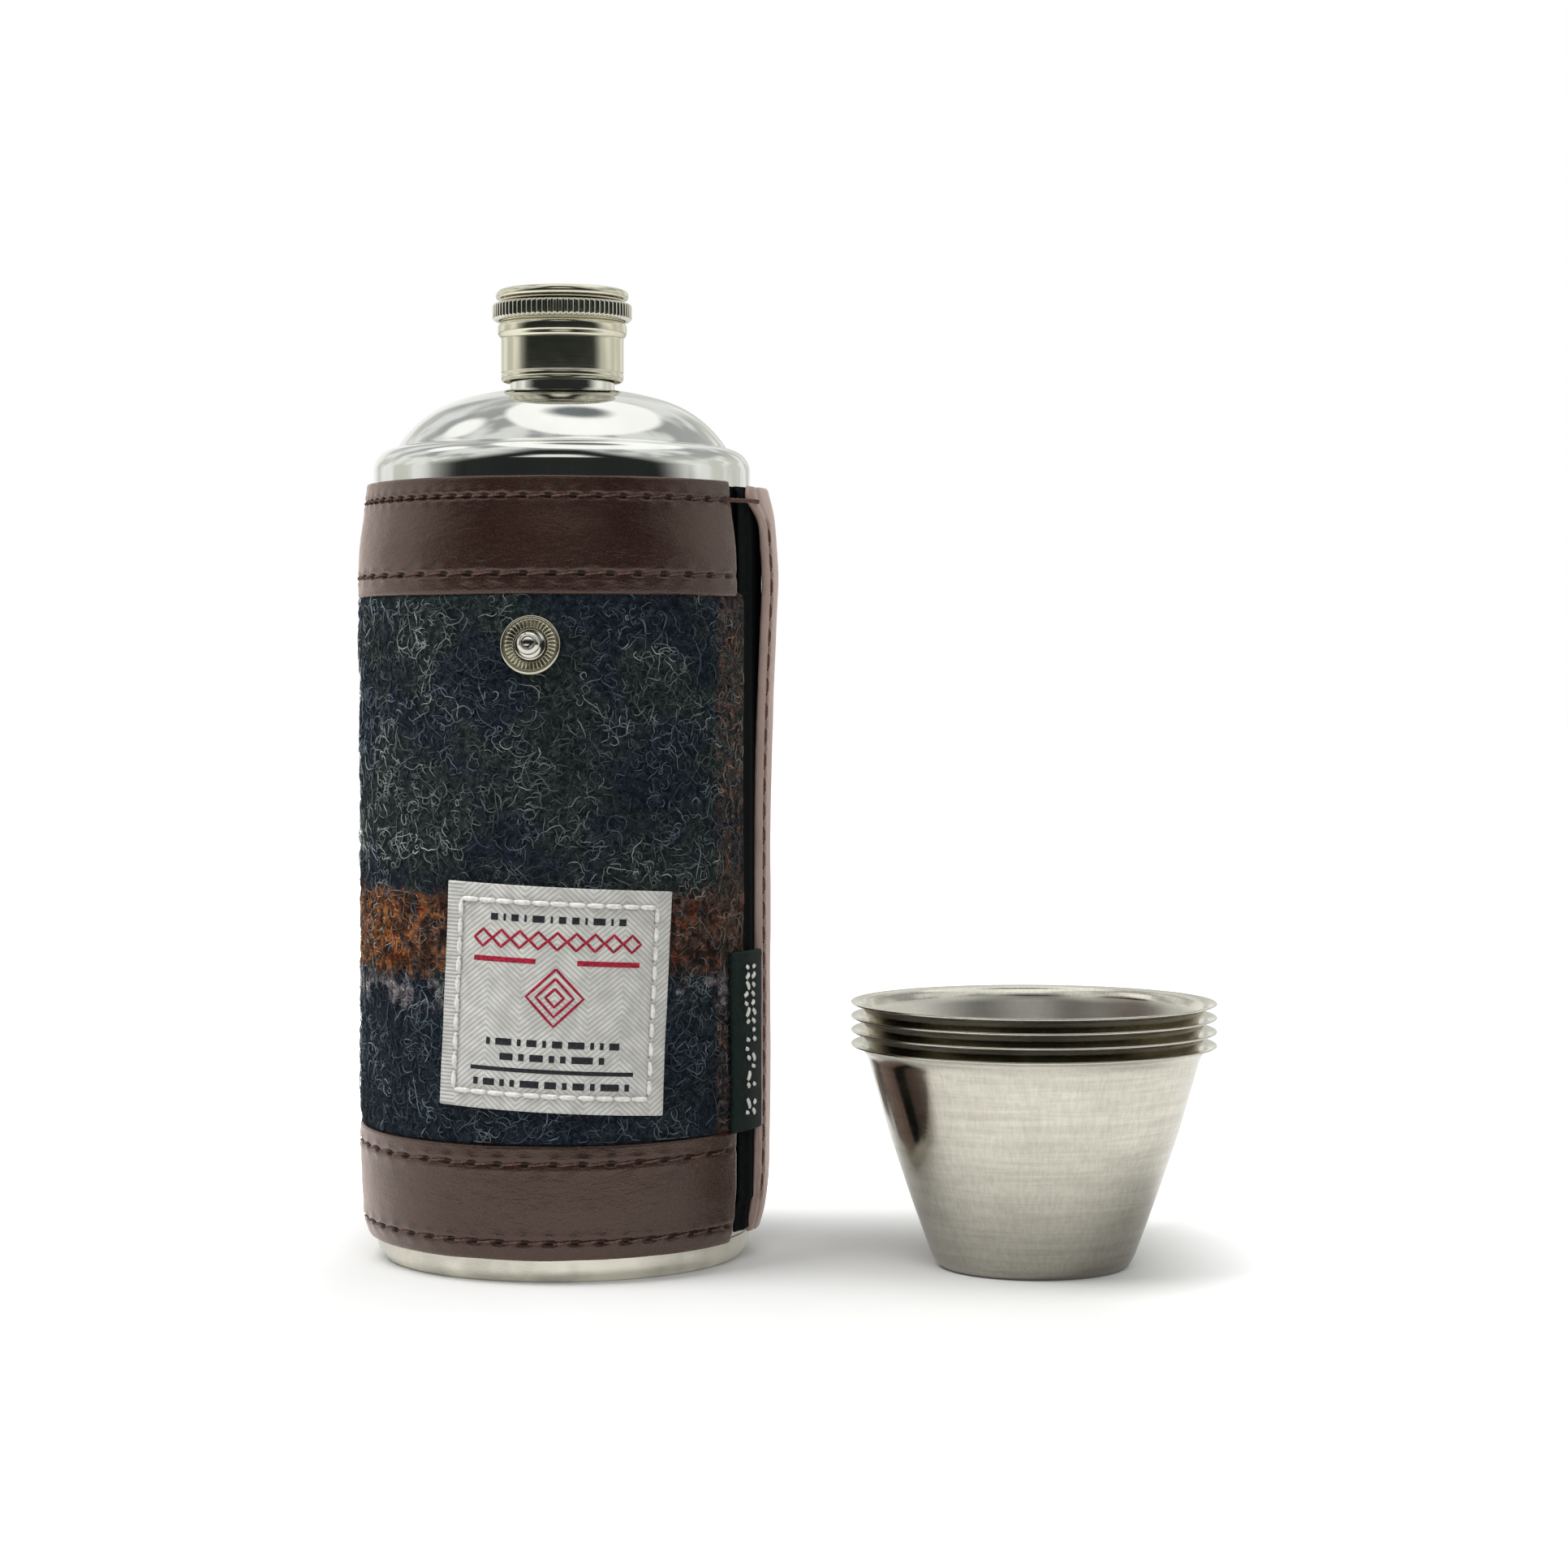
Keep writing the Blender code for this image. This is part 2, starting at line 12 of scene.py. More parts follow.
import bmesh
import bpy
import numpy as np
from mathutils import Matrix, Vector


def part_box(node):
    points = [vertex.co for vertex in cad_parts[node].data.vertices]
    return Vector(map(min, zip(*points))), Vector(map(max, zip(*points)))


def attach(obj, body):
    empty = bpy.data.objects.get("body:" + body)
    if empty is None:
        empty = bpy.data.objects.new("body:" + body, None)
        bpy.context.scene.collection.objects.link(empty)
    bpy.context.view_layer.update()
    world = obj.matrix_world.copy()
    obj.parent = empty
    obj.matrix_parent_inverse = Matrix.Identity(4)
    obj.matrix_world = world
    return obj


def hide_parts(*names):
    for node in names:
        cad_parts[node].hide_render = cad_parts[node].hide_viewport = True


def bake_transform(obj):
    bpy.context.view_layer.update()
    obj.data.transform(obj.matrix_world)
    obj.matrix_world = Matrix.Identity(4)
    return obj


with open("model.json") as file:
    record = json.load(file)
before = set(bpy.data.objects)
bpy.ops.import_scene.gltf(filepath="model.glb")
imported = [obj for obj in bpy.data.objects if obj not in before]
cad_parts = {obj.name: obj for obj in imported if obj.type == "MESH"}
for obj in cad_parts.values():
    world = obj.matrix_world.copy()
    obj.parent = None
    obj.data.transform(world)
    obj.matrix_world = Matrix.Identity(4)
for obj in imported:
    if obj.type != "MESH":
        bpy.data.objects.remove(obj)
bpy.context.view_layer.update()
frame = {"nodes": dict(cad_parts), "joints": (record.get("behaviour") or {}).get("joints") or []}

MM = 0.001
SEED = 7
EDGE_RINGS = 3  # rows of points round the edge of a sheet

# Camera, found from the photograph's perspective
CAMERA_PLACE = (88.2, -582.6, 99.3)
CAMERA_TURN, CAMERA_PITCH = 4.9, -1.77  # degrees
CAMERA_LENS = 78.26


def node_box(node):
    """The lowest and highest corners of a CAD node, in millimetres."""
    low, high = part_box(node)
    return np.array(low) / MM, np.array(high) / MM


def foot_of(node):
    """The middle of a CAD node's foot."""
    low, high = node_box(node)
    return np.array([(low[0] + high[0]) / 2, (low[1] + high[1]) / 2, low[2]])


# Heights and radii that the CAD model sets
BAND_TOP = node_box("top_leather_band")[1][2]
TWEED_BOTTOM, TWEED_TOP = node_box("tweed_panel")[0][2] - 0.3, node_box("tweed_panel")[1][2] + 0.3
CAP_BOTTOM, CAP_TOP = node_box("cap_shell")[0][2], node_box("cap_top_disc")[1][2]
RING_BOTTOM, RING_TOP = node_box("cap_knurled_ring")[0][2], node_box("cap_knurled_ring")[1][2]
NECK_FOOT, NECK_TOP = node_box("neck_collar")[0][2], node_box("neck_collar")[1][2]
SEAM_AZIMUTH = 95.0


# ---------------------------------------------------------------- mesh helpers


def around(radius, azimuth, height):
    """Points at radii, azimuths and heights, which may be arrays."""
    turn = np.radians(azimuth)
    radius, turn, height = np.broadcast_arrays(radius, turn, height)
    return np.stack([radius * np.sin(turn), -radius * np.cos(turn), height], -1).astype(float)


def add_piece(name, points, faces, look, body, replaces=(), sharp=60.0, weld=False, values=None):
    """Makes a mesh of points in millimetres, gives it a look and makes it ride on its body."""
    mesh = bpy.data.meshes.new(name)
    mesh.from_pydata((np.asarray(points, float).reshape(-1, 3) * MM).tolist(), [], faces)
    for key, numbers in (values or {}).items():
        numbers = np.asarray(numbers, np.float32)
        kind = "FLOAT" if numbers.ndim == 1 else "FLOAT_VECTOR"
        attribute = mesh.attributes.new(key, kind, "POINT")
        attribute.data.foreach_set("value" if numbers.ndim == 1 else "vector", numbers.ravel())
    work = bmesh.new()
    work.from_mesh(mesh)
    if weld:
        bmesh.ops.remove_doubles(work, verts=work.verts, dist=0.002 * MM)
    bmesh.ops.recalc_face_normals(work, faces=work.faces)
    work.to_mesh(mesh)
    work.free()
    mesh.shade_smooth()
    mesh.set_sharp_from_angle(angle=radians(sharp))
    mesh.materials.append(look)
    piece = bpy.data.objects.new(name, mesh)
    bpy.context.scene.collection.objects.link(piece)
    if body:
        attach(piece, body)
    if replaces:
        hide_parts(*replaces)
    return piece


def grid_faces(rows, columns, first=0, round_columns=False, round_rows=False):
    """Quads of a grid of points, closed round its columns or rows where asked."""
    r, c = np.meshgrid(
        np.arange(rows if round_rows else rows - 1),
        np.arange(columns if round_columns else columns - 1),
        indexing="ij",
    )
    right, up = (c + 1) % columns, (r + 1) % rows
    quads = [r * columns + c, r * columns + right, up * columns + right, up * columns + c]
    return (np.stack(quads, -1).reshape(-1, 4) + first).tolist()


def rounded(outline, radius, points=4, closed=False):
    """The outline with each of its corners rounded off."""
    outline = [np.array(p, float) for p in outline]
    count = len(outline)
    result = []
    for i, corner in enumerate(outline):
        if not closed and i in (0, count - 1):
            result.append(corner)
            continue
        before, after = outline[i - 1] - corner, outline[(i + 1) % count] - corner
        reach = min(radius, 0.45 * np.linalg.norm(before), 0.45 * np.linalg.norm(after))
        start = corner + before / np.linalg.norm(before) * reach
        end = corner + after / np.linalg.norm(after) * reach
        result.extend(round_corner(start, corner, end, points))
    return np.array(result)


def arc(centre, radius, start, end, points):
    """Points of an arc, with angles in degrees above the first axis."""
    angles = np.radians(np.linspace(start, end, points))
    return np.stack([centre[0] + radius * np.cos(angles), centre[1] + radius * np.sin(angles)], -1)


def round_corner(start, corner, end, points):
    """A curve from start to end that bends towards the corner between them."""
    t = np.linspace(0, 1, points)[:, None]
    return (1 - t) ** 2 * start + 2 * t * (1 - t) * corner + t**2 * end


def smooth_line(points, samples):
    """A smooth curve through points, as many samples long as asked."""
    points = np.asarray(points, float)
    padded = np.vstack([2 * points[0] - points[1], points, 2 * points[-1] - points[-2]])
    at = np.linspace(0, len(points) - 1 - 1e-9, samples)
    i = at.astype(int)
    t = (at - i)[:, None]
    a, b, c, d = (padded[i + k] for k in range(4))
    return 0.5 * (2 * b + (c - a) * t + (2 * a - 5 * b + 4 * c - d) * t**2 + (3 * b - a - 3 * c + d) * t**3)


def turned(
    name, outline, steps, look, body, replaces=(), closed=False, shape=None, place=None,
    sharp=40.0,
):
    """A piece turned round Z from an outline of (radius, height) points.
    shape(radius, azimuth, height) may change the radius, and place moves the points."""
    outline = np.asarray(outline, float)
    azimuth = np.linspace(0, 360, steps, endpoint=False)
    radius, height = (np.repeat(outline[:, k : k + 1], steps, 1) for k in (0, 1))
    if shape is not None:
        radius = shape(radius, azimuth[None, :], height)
    points = around(radius, azimuth[None, :], height)
    if place is not None:
        points = place(points)
    faces = grid_faces(len(outline), steps, round_columns=True, round_rows=closed)
    return add_piece(name, points, faces, look, body, replaces, sharp, weld=True)


def unit(vectors):
    """The vectors at length one."""
    return vectors / np.maximum(np.linalg.norm(vectors, axis=-1, keepdims=True), 1e-9)


def sheet_normals(points):
    """The normals of a grid of points, along columns cross rows."""
    return unit(np.cross(np.gradient(points, axis=1), np.gradient(points, axis=0)))


def thick_sheet(name, us, vs, surface, sheet, look, replaces, relief=None, hole=None):
    """A closed sheet on the flask, with rounded edges. surface(u, v) gives the points of its outer face,
    relief(u, v) how far they stand out of it, and hole(u, v) how deep they are in a stitch hole, up to 1."""
    u, v = np.meshgrid(us, vs)
    outer = surface(u, v)
    normal = sheet_normals(outer)
    inner = outer - sheet * normal
    if relief is not None:
        outer = outer + relief(u, v)[..., None] * normal
    rows, columns = u.shape
    index = np.arange(rows * columns).reshape(rows, columns)
    loop = np.concatenate([index[0], index[1:, -1], index[-1, -2::-1], index[-2:0:-1, 0]])
    inward = np.zeros((rows, columns, 3))
    inward[0] += unit(outer[1] - outer[0])
    inward[-1] += unit(outer[-2] - outer[-1])
    inward[:, 0] += unit(outer[:, 1] - outer[:, 0])
    inward[:, -1] += unit(outer[:, -2] - outer[:, -1])
    out = -unit(inward.reshape(-1, 3)[loop])
    top, low = outer.reshape(-1, 3)[loop], inner.reshape(-1, 3)[loop]
    half = np.linalg.norm(top - low, axis=1, keepdims=True) / 2
    rings = []
    for angle in np.linspace(0, pi, EDGE_RINGS + 2)[1:-1]:
        lift = unit(top - low) * half * cos(angle)
        rings.append((top + low) / 2 + lift + out * half * sin(angle))
    points = np.vstack([outer.reshape(-1, 3), inner.reshape(-1, 3)] + rings)
    faces = grid_faces(rows, columns) + grid_faces(rows, columns, rows * columns)
    count = len(loop)
    loops = [loop] + [2 * rows * columns + k * count + np.arange(count) for k in range(EDGE_RINGS)]
    loops.append(loop + rows * columns)
    for a, b in zip(loops, loops[1:]):
        faces += np.stack([a, np.roll(a, -1), np.roll(b, -1), b], -1).tolist()
    flat = np.stack([u, v, 0 * u], -1).reshape(-1, 3)
    depth = (hole(u, v) if hole is not None else 0 * u).ravel()
    values = {
        "flat": np.vstack([flat, flat] + [flat[loop]] * EDGE_RINGS),
        "hole": np.concatenate([depth, 0 * depth] + [0 * depth[loop]] * EDGE_RINGS),
    }
    return add_piece(name, points, faces, look, "flask", replaces, values=values)


def thread_faces(threads, count, sides):
    """The faces of threads with count rings of points each, one after another, with their ends closed."""
    one = np.array(grid_faces(count, sides, round_columns=True))
    starts = np.arange(threads) * count * sides
    faces = (one[None] + starts[:, None, None]).reshape(-1, 4).tolist()
    for start in starts.tolist():
        faces.append([start + k for k in range(sides)])
        faces.append([start + (count - 1) * sides + k for k in range(sides)][::-1])
    return faces


def tubes(name, paths, radii, sides, look, body, values=None, sharp=80.0):
    """Round threads: paths is (threads, points, 3), and radii broadcasts to (threads, points)."""
    paths = np.asarray(paths, float)
    threads, count, _ = paths.shape
    tangent = unit(np.gradient(paths, axis=1))
    guide = np.where(np.abs(tangent[..., 2:]) < 0.9, [0.0, 0.0, 1.0], [1.0, 0.0, 0.0])
    side = unit(np.cross(tangent, guide))
    up = np.cross(side, tangent)
    radii = np.broadcast_to(radii, (threads, count))[..., None, None]
    angle = 2 * pi * np.arange(sides) / sides
    section = side[:, :, None] * np.cos(angle)[:, None] + up[:, :, None] * np.sin(angle)[:, None]
    points = (paths[:, :, None] + radii * section).reshape(threads, -1, 3)
    faces = thread_faces(threads, count, sides)
    values = {key: np.repeat(row, count * sides, axis=0) for key, row in (values or {}).items()}
    return add_piece(name, points, faces, look, body, sharp=sharp, values=values)


def eased(t):
    """A share from 0 to 1, changed so that it starts and ends slowly."""
    return t * t * (3 - 2 * t)


def value_noise(x, y, seed):
    """Smooth random values from -1 to 1 that change over a distance of about 1."""
    size = 64
    lattice = np.random.default_rng(seed).uniform(-1, 1, (size, size))
    i, j = np.floor(x).astype(int), np.floor(y).astype(int)
    s, t = eased(x - i), eased(y - j)
    a, b = lattice[i % size, j % size], lattice[(i + 1) % size, j % size]
    c, d = lattice[i % size, (j + 1) % size], lattice[(i + 1) % size, (j + 1) % size]
    return (a * (1 - s) + b * s) * (1 - t) + (c * (1 - s) + d * s) * t


# ------------------------------------------------------------------- materials


class Nodes:
    """A node tree, with short names for the nodes used here."""

    def __init__(self, tree):
        self.tree = tree

    def put(self, value, socket):
        if isinstance(value, bpy.types.NodeSocket):
            self.tree.links.new(value, socket)
        elif isinstance(value, tuple) and socket.type == "RGBA":
            socket.default_value = (*value, 1.0)
        else:
            socket.default_value = value

    def node(self, kind, inputs, **settings):
        node = self.tree.nodes.new("ShaderNode" + kind)
        for key, value in settings.items():
            setattr(node, key, value)
        for key, value in inputs.items():
            self.put(value, node.inputs[key])
        return node

    def axis(self, vector, letter):
        return self.node("SeparateXYZ", {0: vector}).outputs[letter]

    def join(self, x, y, z=0.0):
        return self.node("CombineXYZ", {0: x, 1: y, 2: z}).outputs[0]

    def vectors(self, operation, a, b, output=0):
        return self.node("VectorMath", {0: a, 1: b}, operation=operation).outputs[output]

    def maths(self, operation, *values):
        return self.node("Math", dict(enumerate(values)), operation=operation).outputs[0]

    def plus(self, a, b):
        return self.maths("ADD", a, b)

    def minus(self, a, b):
        return self.maths("SUBTRACT", a, b)

    def times(self, *values):
        """The product of two or more values."""
        result = values[0]
        for value in values[1:]:
            result = self.maths("MULTIPLY", result, value)
        return result

    def noise(self, where, scale, detail=2.0, roughness=0.5, distortion=0.0):
        inputs = {
            "Vector": where, "Scale": scale, "Detail": detail, "Roughness": roughness,
            "Distortion": distortion,
        }
        return self.node("TexNoise", inputs).outputs["Fac"]

    def between(self, value, low, high, to_low=0.0, to_high=1.0):
        """The value's place between low and high, smoothly, mapped to another pair."""
        inputs = {"Value": value, "From Min": low, "From Max": high, "To Min": to_low, "To Max": to_high}
        return self.node("MapRange", inputs, interpolation_type="SMOOTHSTEP").outputs[0]

    def line(self, value, middle, width):
        """1 where the value is at the middle, falling to 0 at a width from it."""
        return self.between(self.maths("ABSOLUTE", self.minus(value, middle)), 0.0, width, 1.0, 0.0)

    def mix(self, share, a, b, blend="MIX"):
        return self.node("Mix", {0: share, 6: a, 7: b}, data_type="RGBA", blend_type=blend).outputs[2]


class Look(Nodes):
    """A material that is built up from nodes. Keywords are the shader's sockets."""

    def __init__(self, name, roughness=0.5, metallic=0.0, **sockets):
        self.material = bpy.data.materials.new(name)
        self.material.use_nodes = True
        super().__init__(self.material.node_tree)
        self.shader = self.tree.nodes["Principled BSDF"]
        self.set(Roughness=roughness, Metallic=metallic, **sockets)

    def set(self, **values):
        for key, value in values.items():
            self.put(value, self.socket(key))

    def socket(self, key):
        return self.shader.inputs[key.replace("_", " ")]

    def now(self, key):
        """What a socket of the shader is linked to so far."""
        return self.socket(key).links[0].from_socket

    def place(self, stretch=(1.0, 1.0, 1.0), shift=(0.0, 0.0, 0.0)):
        """Object coordinates in millimetres, times a stretch."""
        where = self.node("TexCoord", {}).outputs["Object"]
        scale = tuple(s / MM for s in stretch)
        return self.node("Mapping", {"Vector": where, "Scale": scale, "Location": shift}).outputs[0]

    def flat(self):
        """A sheet's own flat coordinates in millimetres, as across and up."""
        where = self.node("Attribute", {}, attribute_name="flat").outputs["Vector"]
        return self.axis(where, "X"), self.axis(where, "Y")

    def value(self, name):
        return self.node("Attribute", {}, attribute_name=name).outputs["Fac"]

    def bump(self, height, distance, strength=1.0):
        """Fine relief, its distance in millimetres, on top of any relief set before."""
        inputs = {"Height": height, "Distance": distance * MM, "Strength": strength}
        if self.socket("Normal").is_linked:
            inputs["Normal"] = self.now("Normal")
        self.set(Normal=self.node("Bump", inputs).outputs[0])


def shaded(colour, share):
    """The colour made darker or paler."""
    return tuple(min(1.0, c * share) for c in colour)


def steel_look(name, colour, roughness, streak, spread=0.08, streak_depth=0.002, smudge=0.12):
    """Steel with brushing: streak stretches the brush marks along each axis."""
    look = Look(name, metallic=1.0)
    brush = look.noise(look.place(streak), 1.0, 3.0, 0.6)
    cloud = look.noise(look.place(), 0.09, 3.0, 0.55)
    dark = shaded(colour, 1 - smudge)
    look.set(Base_Color=look.mix(look.between(cloud, 0.35, 0.65), dark, colour))
    rough = look.between(brush, 0.3, 0.7, roughness - spread / 2, roughness + spread / 2)
    smear = look.between(cloud, 0.3, 0.7, -0.03, 0.03)
    look.set(Roughness=look.plus(rough, smear))
    look.bump(brush, streak_depth)
    return look


def brush_cups(look):
    """Upright brush marks on the cups and level rubs, with painted shade that darkens them towards the foot.
    Their inside is rougher, and made paler by painted light.
    """
    streaks = look.noise(look.place((1.6, 1.6, 0.05)), 1.0, 4.0, 0.75)
    rubs = look.noise(look.place((0.045, 0.045, 0.85)), 1.0, 4.0, 0.7, 0.4)
    look.bump(streaks, 0.006)
    look.bump(rubs, 0.004)
    upright = look.between(streaks, 0.32, 0.66, 0.88, 1.03)
    level = look.between(rubs, 0.30, 0.68, 0.85, 1.03)
    # painted shade: the cups are darkened towards the foot, where shade falls near the floor
    foot = look.between(look.axis(look.place(), "Z"), 0.0, 26.0, 0.62, 1.0)
    share = look.times(upright, level, foot)
    tone = look.mix(1.0, look.now("Base_Color"), look.join(share, share, share), "MULTIPLY")
    x, y, _ = foot_of("cup_1")
    from_axis = look.vectors("SUBTRACT", look.place(), (x, y, 0.0))
    facing = look.node("TexCoord", {}).outputs["Normal"]
    outward = look.vectors("DOT_PRODUCT", from_axis, facing, "Value")
    inside = look.between(outward, -4.0, 0.0, 0.24, 0.0)
    look.set(Roughness=look.plus(look.now("Roughness"), inside))
    # painted light: the inside is mixed towards a warm white, a painted reflection of the bright studio
    lit = look.between(outward, -4.0, 0.0, 0.5, 0.0)
    look.set(Base_Color=look.mix(lit, tone, (1.0, 0.97, 0.90)))


def turned_marks(look, pitch, depth):
    """Fine rings that a lathe leaves round the Z axis."""
    height = look.axis(look.place(), "Z")
    wave = look.maths("SINE", look.times(height, 2 * pi / pitch))
    look.bump(wave, depth)


def leather_look(name, colour, roughness=0.27):
    """Smooth pigmented leather: fine pebble grain, pores, faint creases, and painted shade in the stitch
    holes.
    """
    look = Look(
        name, Specular_IOR_Level=0.8, Specular_Tint=(1.0, 0.75, 0.63), Coat_Weight=0.14, Coat_Roughness=0.15,
        Sheen_Weight=0.3, Sheen_Roughness=0.4, Sheen_Tint=(1.0, 0.58, 0.45),
    )
    where = look.place()
    patches = look.noise(where, 0.11, 3.0, 0.6)
    grain = look.node("TexVoronoi", {"Vector": where, "Scale": 2.6}, feature="F1").outputs["Distance"]
    fine = look.noise(where, 5.0, 3.0, 0.6)
    pale = tuple(min(1.0, c * 1.16 + 0.002) for c in colour)
    deep = tuple(c * 0.88 for c in colour)
    base = look.mix(look.between(patches, 0.3, 0.7), deep, pale)
    base = look.mix(look.between(grain, 0.0, 0.25, 0.25, 0.0), base, deep)
    hole = look.value("hole")
    # painted shade: the stitch holes are darkened, where shade falls in them
    look.set(Base_Color=look.mix(hole, base, shaded(colour, 0.12)))
    rough = look.between(fine, 0.3, 0.7, roughness - 0.06, roughness + 0.08)
    look.set(Roughness=look.plus(rough, look.times(hole, 0.3)))
    look.bump(grain, 0.03, 0.6)
    look.bump(fine, 0.008, 0.6)
    creases = look.noise(look.place((0.5, 0.5, 1.6)), 0.6, 3.0, 0.6, 1.0)
    look.bump(creases, 0.13, 0.6)
    wrinkles = look.noise(look.place((0.8, 0.8, 1.9)), 0.9, 3.0, 0.65, 0.8)
    look.bump(wrinkles, 0.09, 0.7)
    return look.material


def thread_look(name, colour, twist=2.6, depth=0.55):
    """Sewing thread, with its plies' twist across it."""
    look = Look(name, roughness=0.6, Specular_IOR_Level=0.3)
    where = look.place()
    twine = look.noise(where, twist, 2.0, 0.5)
    fuzz = look.noise(where, 9.0, 2.0, 0.6)
    dark, pale = shaded(colour, depth), shaded(colour, 1.9 - depth)
    look.set(Base_Color=look.mix(look.between(twine, 0.35, 0.65), dark, pale))
    look.bump(fuzz, 0.025, 0.6)
    return look.material


def cloth_look(name, colour, pitch, depth=0.06, roughness=0.95, gloss=0.1):
    """Plain woven cloth on a sheet's flat coordinates."""
    look = Look(name, roughness=roughness, Specular_IOR_Level=gloss)
    across, up = look.flat()
    warp = look.maths("SINE", look.times(across, 2 * pi / pitch))
    weft = look.maths("SINE", look.times(up, 2 * pi / pitch))
    weave = look.times(warp, weft)
    slub = look.noise(look.place(), 1.2, 3.0, 0.6)
    dark = shaded(colour, 0.6)
    base = look.mix(look.between(slub, 0.3, 0.7), dark, shaded(colour, 1.4))
    # painted shade: the weave's hollows are darkened, where shade falls between the threads
    look.set(Base_Color=look.mix(look.between(weave, -1.0, 0.2, 0.4, 0.0), base, dark))
    look.bump(weave, depth)
    return look.material


def tweed_zones(look, azimuth, height, ragged):
    """Shares of the rust band, the rust stripe, the lilac line and the dark foot at each place."""
    level = look.plus(height, ragged)
    side = look.plus(azimuth, look.times(ragged, 1.2))
    band = look.maths(
        "MULTIPLY", look.between(level, 49.6, 52.2), look.between(level, 62.4, 65.6, 1.0, 0.0)
    )
    stripe = look.between(side, 54.5, 58.5)
    lilac = look.line(level, 47.8, 3.6)
    foot = look.between(level, 44.0, 50.0, 1.0, 0.0)
    return band, stripe, lilac, foot


# The tweed's grey, blue, rust and lilac, each from its darkest to its palest, then its orange, which is
# partly painted light on the lit left side, its embers and the grey-brown dust in the stripe: for the cloth
# and for its loose hairs
CLOTH_COLOURS = [
    ((0.0055, 0.0098, 0.0108), (0.030, 0.041, 0.042)), ((0.0045, 0.0078, 0.0125), (0.018, 0.026, 0.038)),
    ((0.018, 0.016, 0.015), (0.16, 0.078, 0.052)), ((0.045, 0.042, 0.047), (0.34, 0.31, 0.33)),
]
CLOTH_EXTRAS = (0.26, 0.095, 0.03), (0.17, 0.042, 0.019), (0.085, 0.074, 0.064)
HAIR_COLOURS = [
    ((0.020, 0.029, 0.030), (0.40, 0.45, 0.43)), ((0.012, 0.019, 0.030), (0.22, 0.27, 0.32)),
    ((0.06, 0.04, 0.033), (0.64, 0.37, 0.25)), ((0.22, 0.20, 0.21), (0.78, 0.72, 0.71)),
]
HAIR_EXTRAS = (0.56, 0.25, 0.08), (0.38, 0.10, 0.045), (0.36, 0.33, 0.29)


def tweed_look(name, fibre):
    """Hairy woollen tweed. The cloth itself has curly hairs drawn on it, and the fibre version colours
    each loose hair by its own tint."""
    look = Look(name, roughness=0.95, Specular_IOR_Level=0.12)
    where = look.place()
    x, y, z = (look.axis(where, letter) for letter in "XYZ")
    turn = look.maths("ARCTAN2", x, look.times(y, -1.0))
    azimuth = look.times(turn, 180 / pi)
    wander = look.noise(where, 0.45, 3.0, 0.65)
    ragged = look.times(look.minus(wander, 0.5), 7.0)
    band, stripe, lilac, foot = tweed_zones(look, azimuth, z, ragged)

    patch = look.noise(where, 0.06, 3.0, 0.6)
    speck = look.noise(where, 0.9, 3.0, 0.7)
    if fibre:
        tint, kind = look.value("tint"), look.value("kind")
        in_band, in_stripe = look.between(kind, 0.22, 0.4), look.between(kind, 0.45, 0.65)
        colours, extras = HAIR_COLOURS, HAIR_EXTRAS
    else:
        tint, kind = look.between(speck, 0.35, 0.7), look.noise(where, 0.8, 2.0, 0.6)
        in_band, in_stripe = look.between(kind, 0.28, 0.46), look.between(kind, 0.36, 0.6)
        colours, extras = CLOTH_COLOURS, CLOTH_EXTRAS
    grey, blue, rust, haze = (look.mix(tint, dark, pale) for dark, pale in colours)
    orange, ember, dust = extras
    base = look.mix(look.between(patch, 0.47, 0.58), grey, blue)
    base = look.mix(look.times(foot, 0.75), base, blue)
    # painted light: the orange flecks are the rust band's own, but keeping them to the left side, where the
    # light falls, paints light there
    lit_side = look.between(azimuth, -46.0, -12.0, 1.0, 0.0)
    spark = look.between(look.noise(where, 0.6, 2.0, 0.6), 0.44, 0.58)
    embers = look.between(look.noise(where, 0.35, 2.0, 0.6), 0.54, 0.66)
    rust = look.mix(look.times(lit_side, spark), rust, orange)
    rust = look.mix(look.times(embers, 0.7), rust, ember)
    gaps = look.between(look.noise(where, 0.42, 2.0, 0.6), 0.40, 0.56)
    rust = look.mix(gaps, look.mix(1.0, rust, (0.30, 0.30, 0.34), "MULTIPLY"), rust)
    base = look.mix(look.times(band, in_band), base, rust)
    base = look.mix(look.times(stripe, in_stripe), base, look.mix(0.35, rust, dust))
    spots = look.between(look.noise(where, 0.3, 1.0), 0.46, 0.58)
    base = look.mix(look.times(lilac, spots), base, haze)
    if fibre:
        look.set(Base_Color=base)
        return look.material

    hairs = None
    for scale, width, shift in ((0.55, 0.020, 0.0), (0.8, 0.026, 31.0), (1.15, 0.034, 67.0)):
        moved = look.place(shift=(shift, shift, shift))
        curl = look.line(look.noise(moved, scale, 1.0, 0.5, 1.8), 0.5, width)
        gate = look.between(look.noise(moved, scale * 0.7, 1.0), 0.42, 0.6)
        curl = look.times(curl, gate)
        hairs = curl if hairs is None else look.maths("MAXIMUM", hairs, curl)
    brighter = look.mix(1.0, base, (5.5, 5.4, 5.0), "MULTIPLY")
    lifted = look.mix(1.0, brighter, (0.010, 0.013, 0.014), "ADD")
    look.set(Base_Color=look.mix(look.times(hairs, 0.8), base, lifted))
    felt = look.noise(where, 2.2, 4.0, 0.7, 0.8)
    look.bump(felt, 0.55, 0.8)
    look.bump(hairs, 0.12, 0.8)
    return look.material


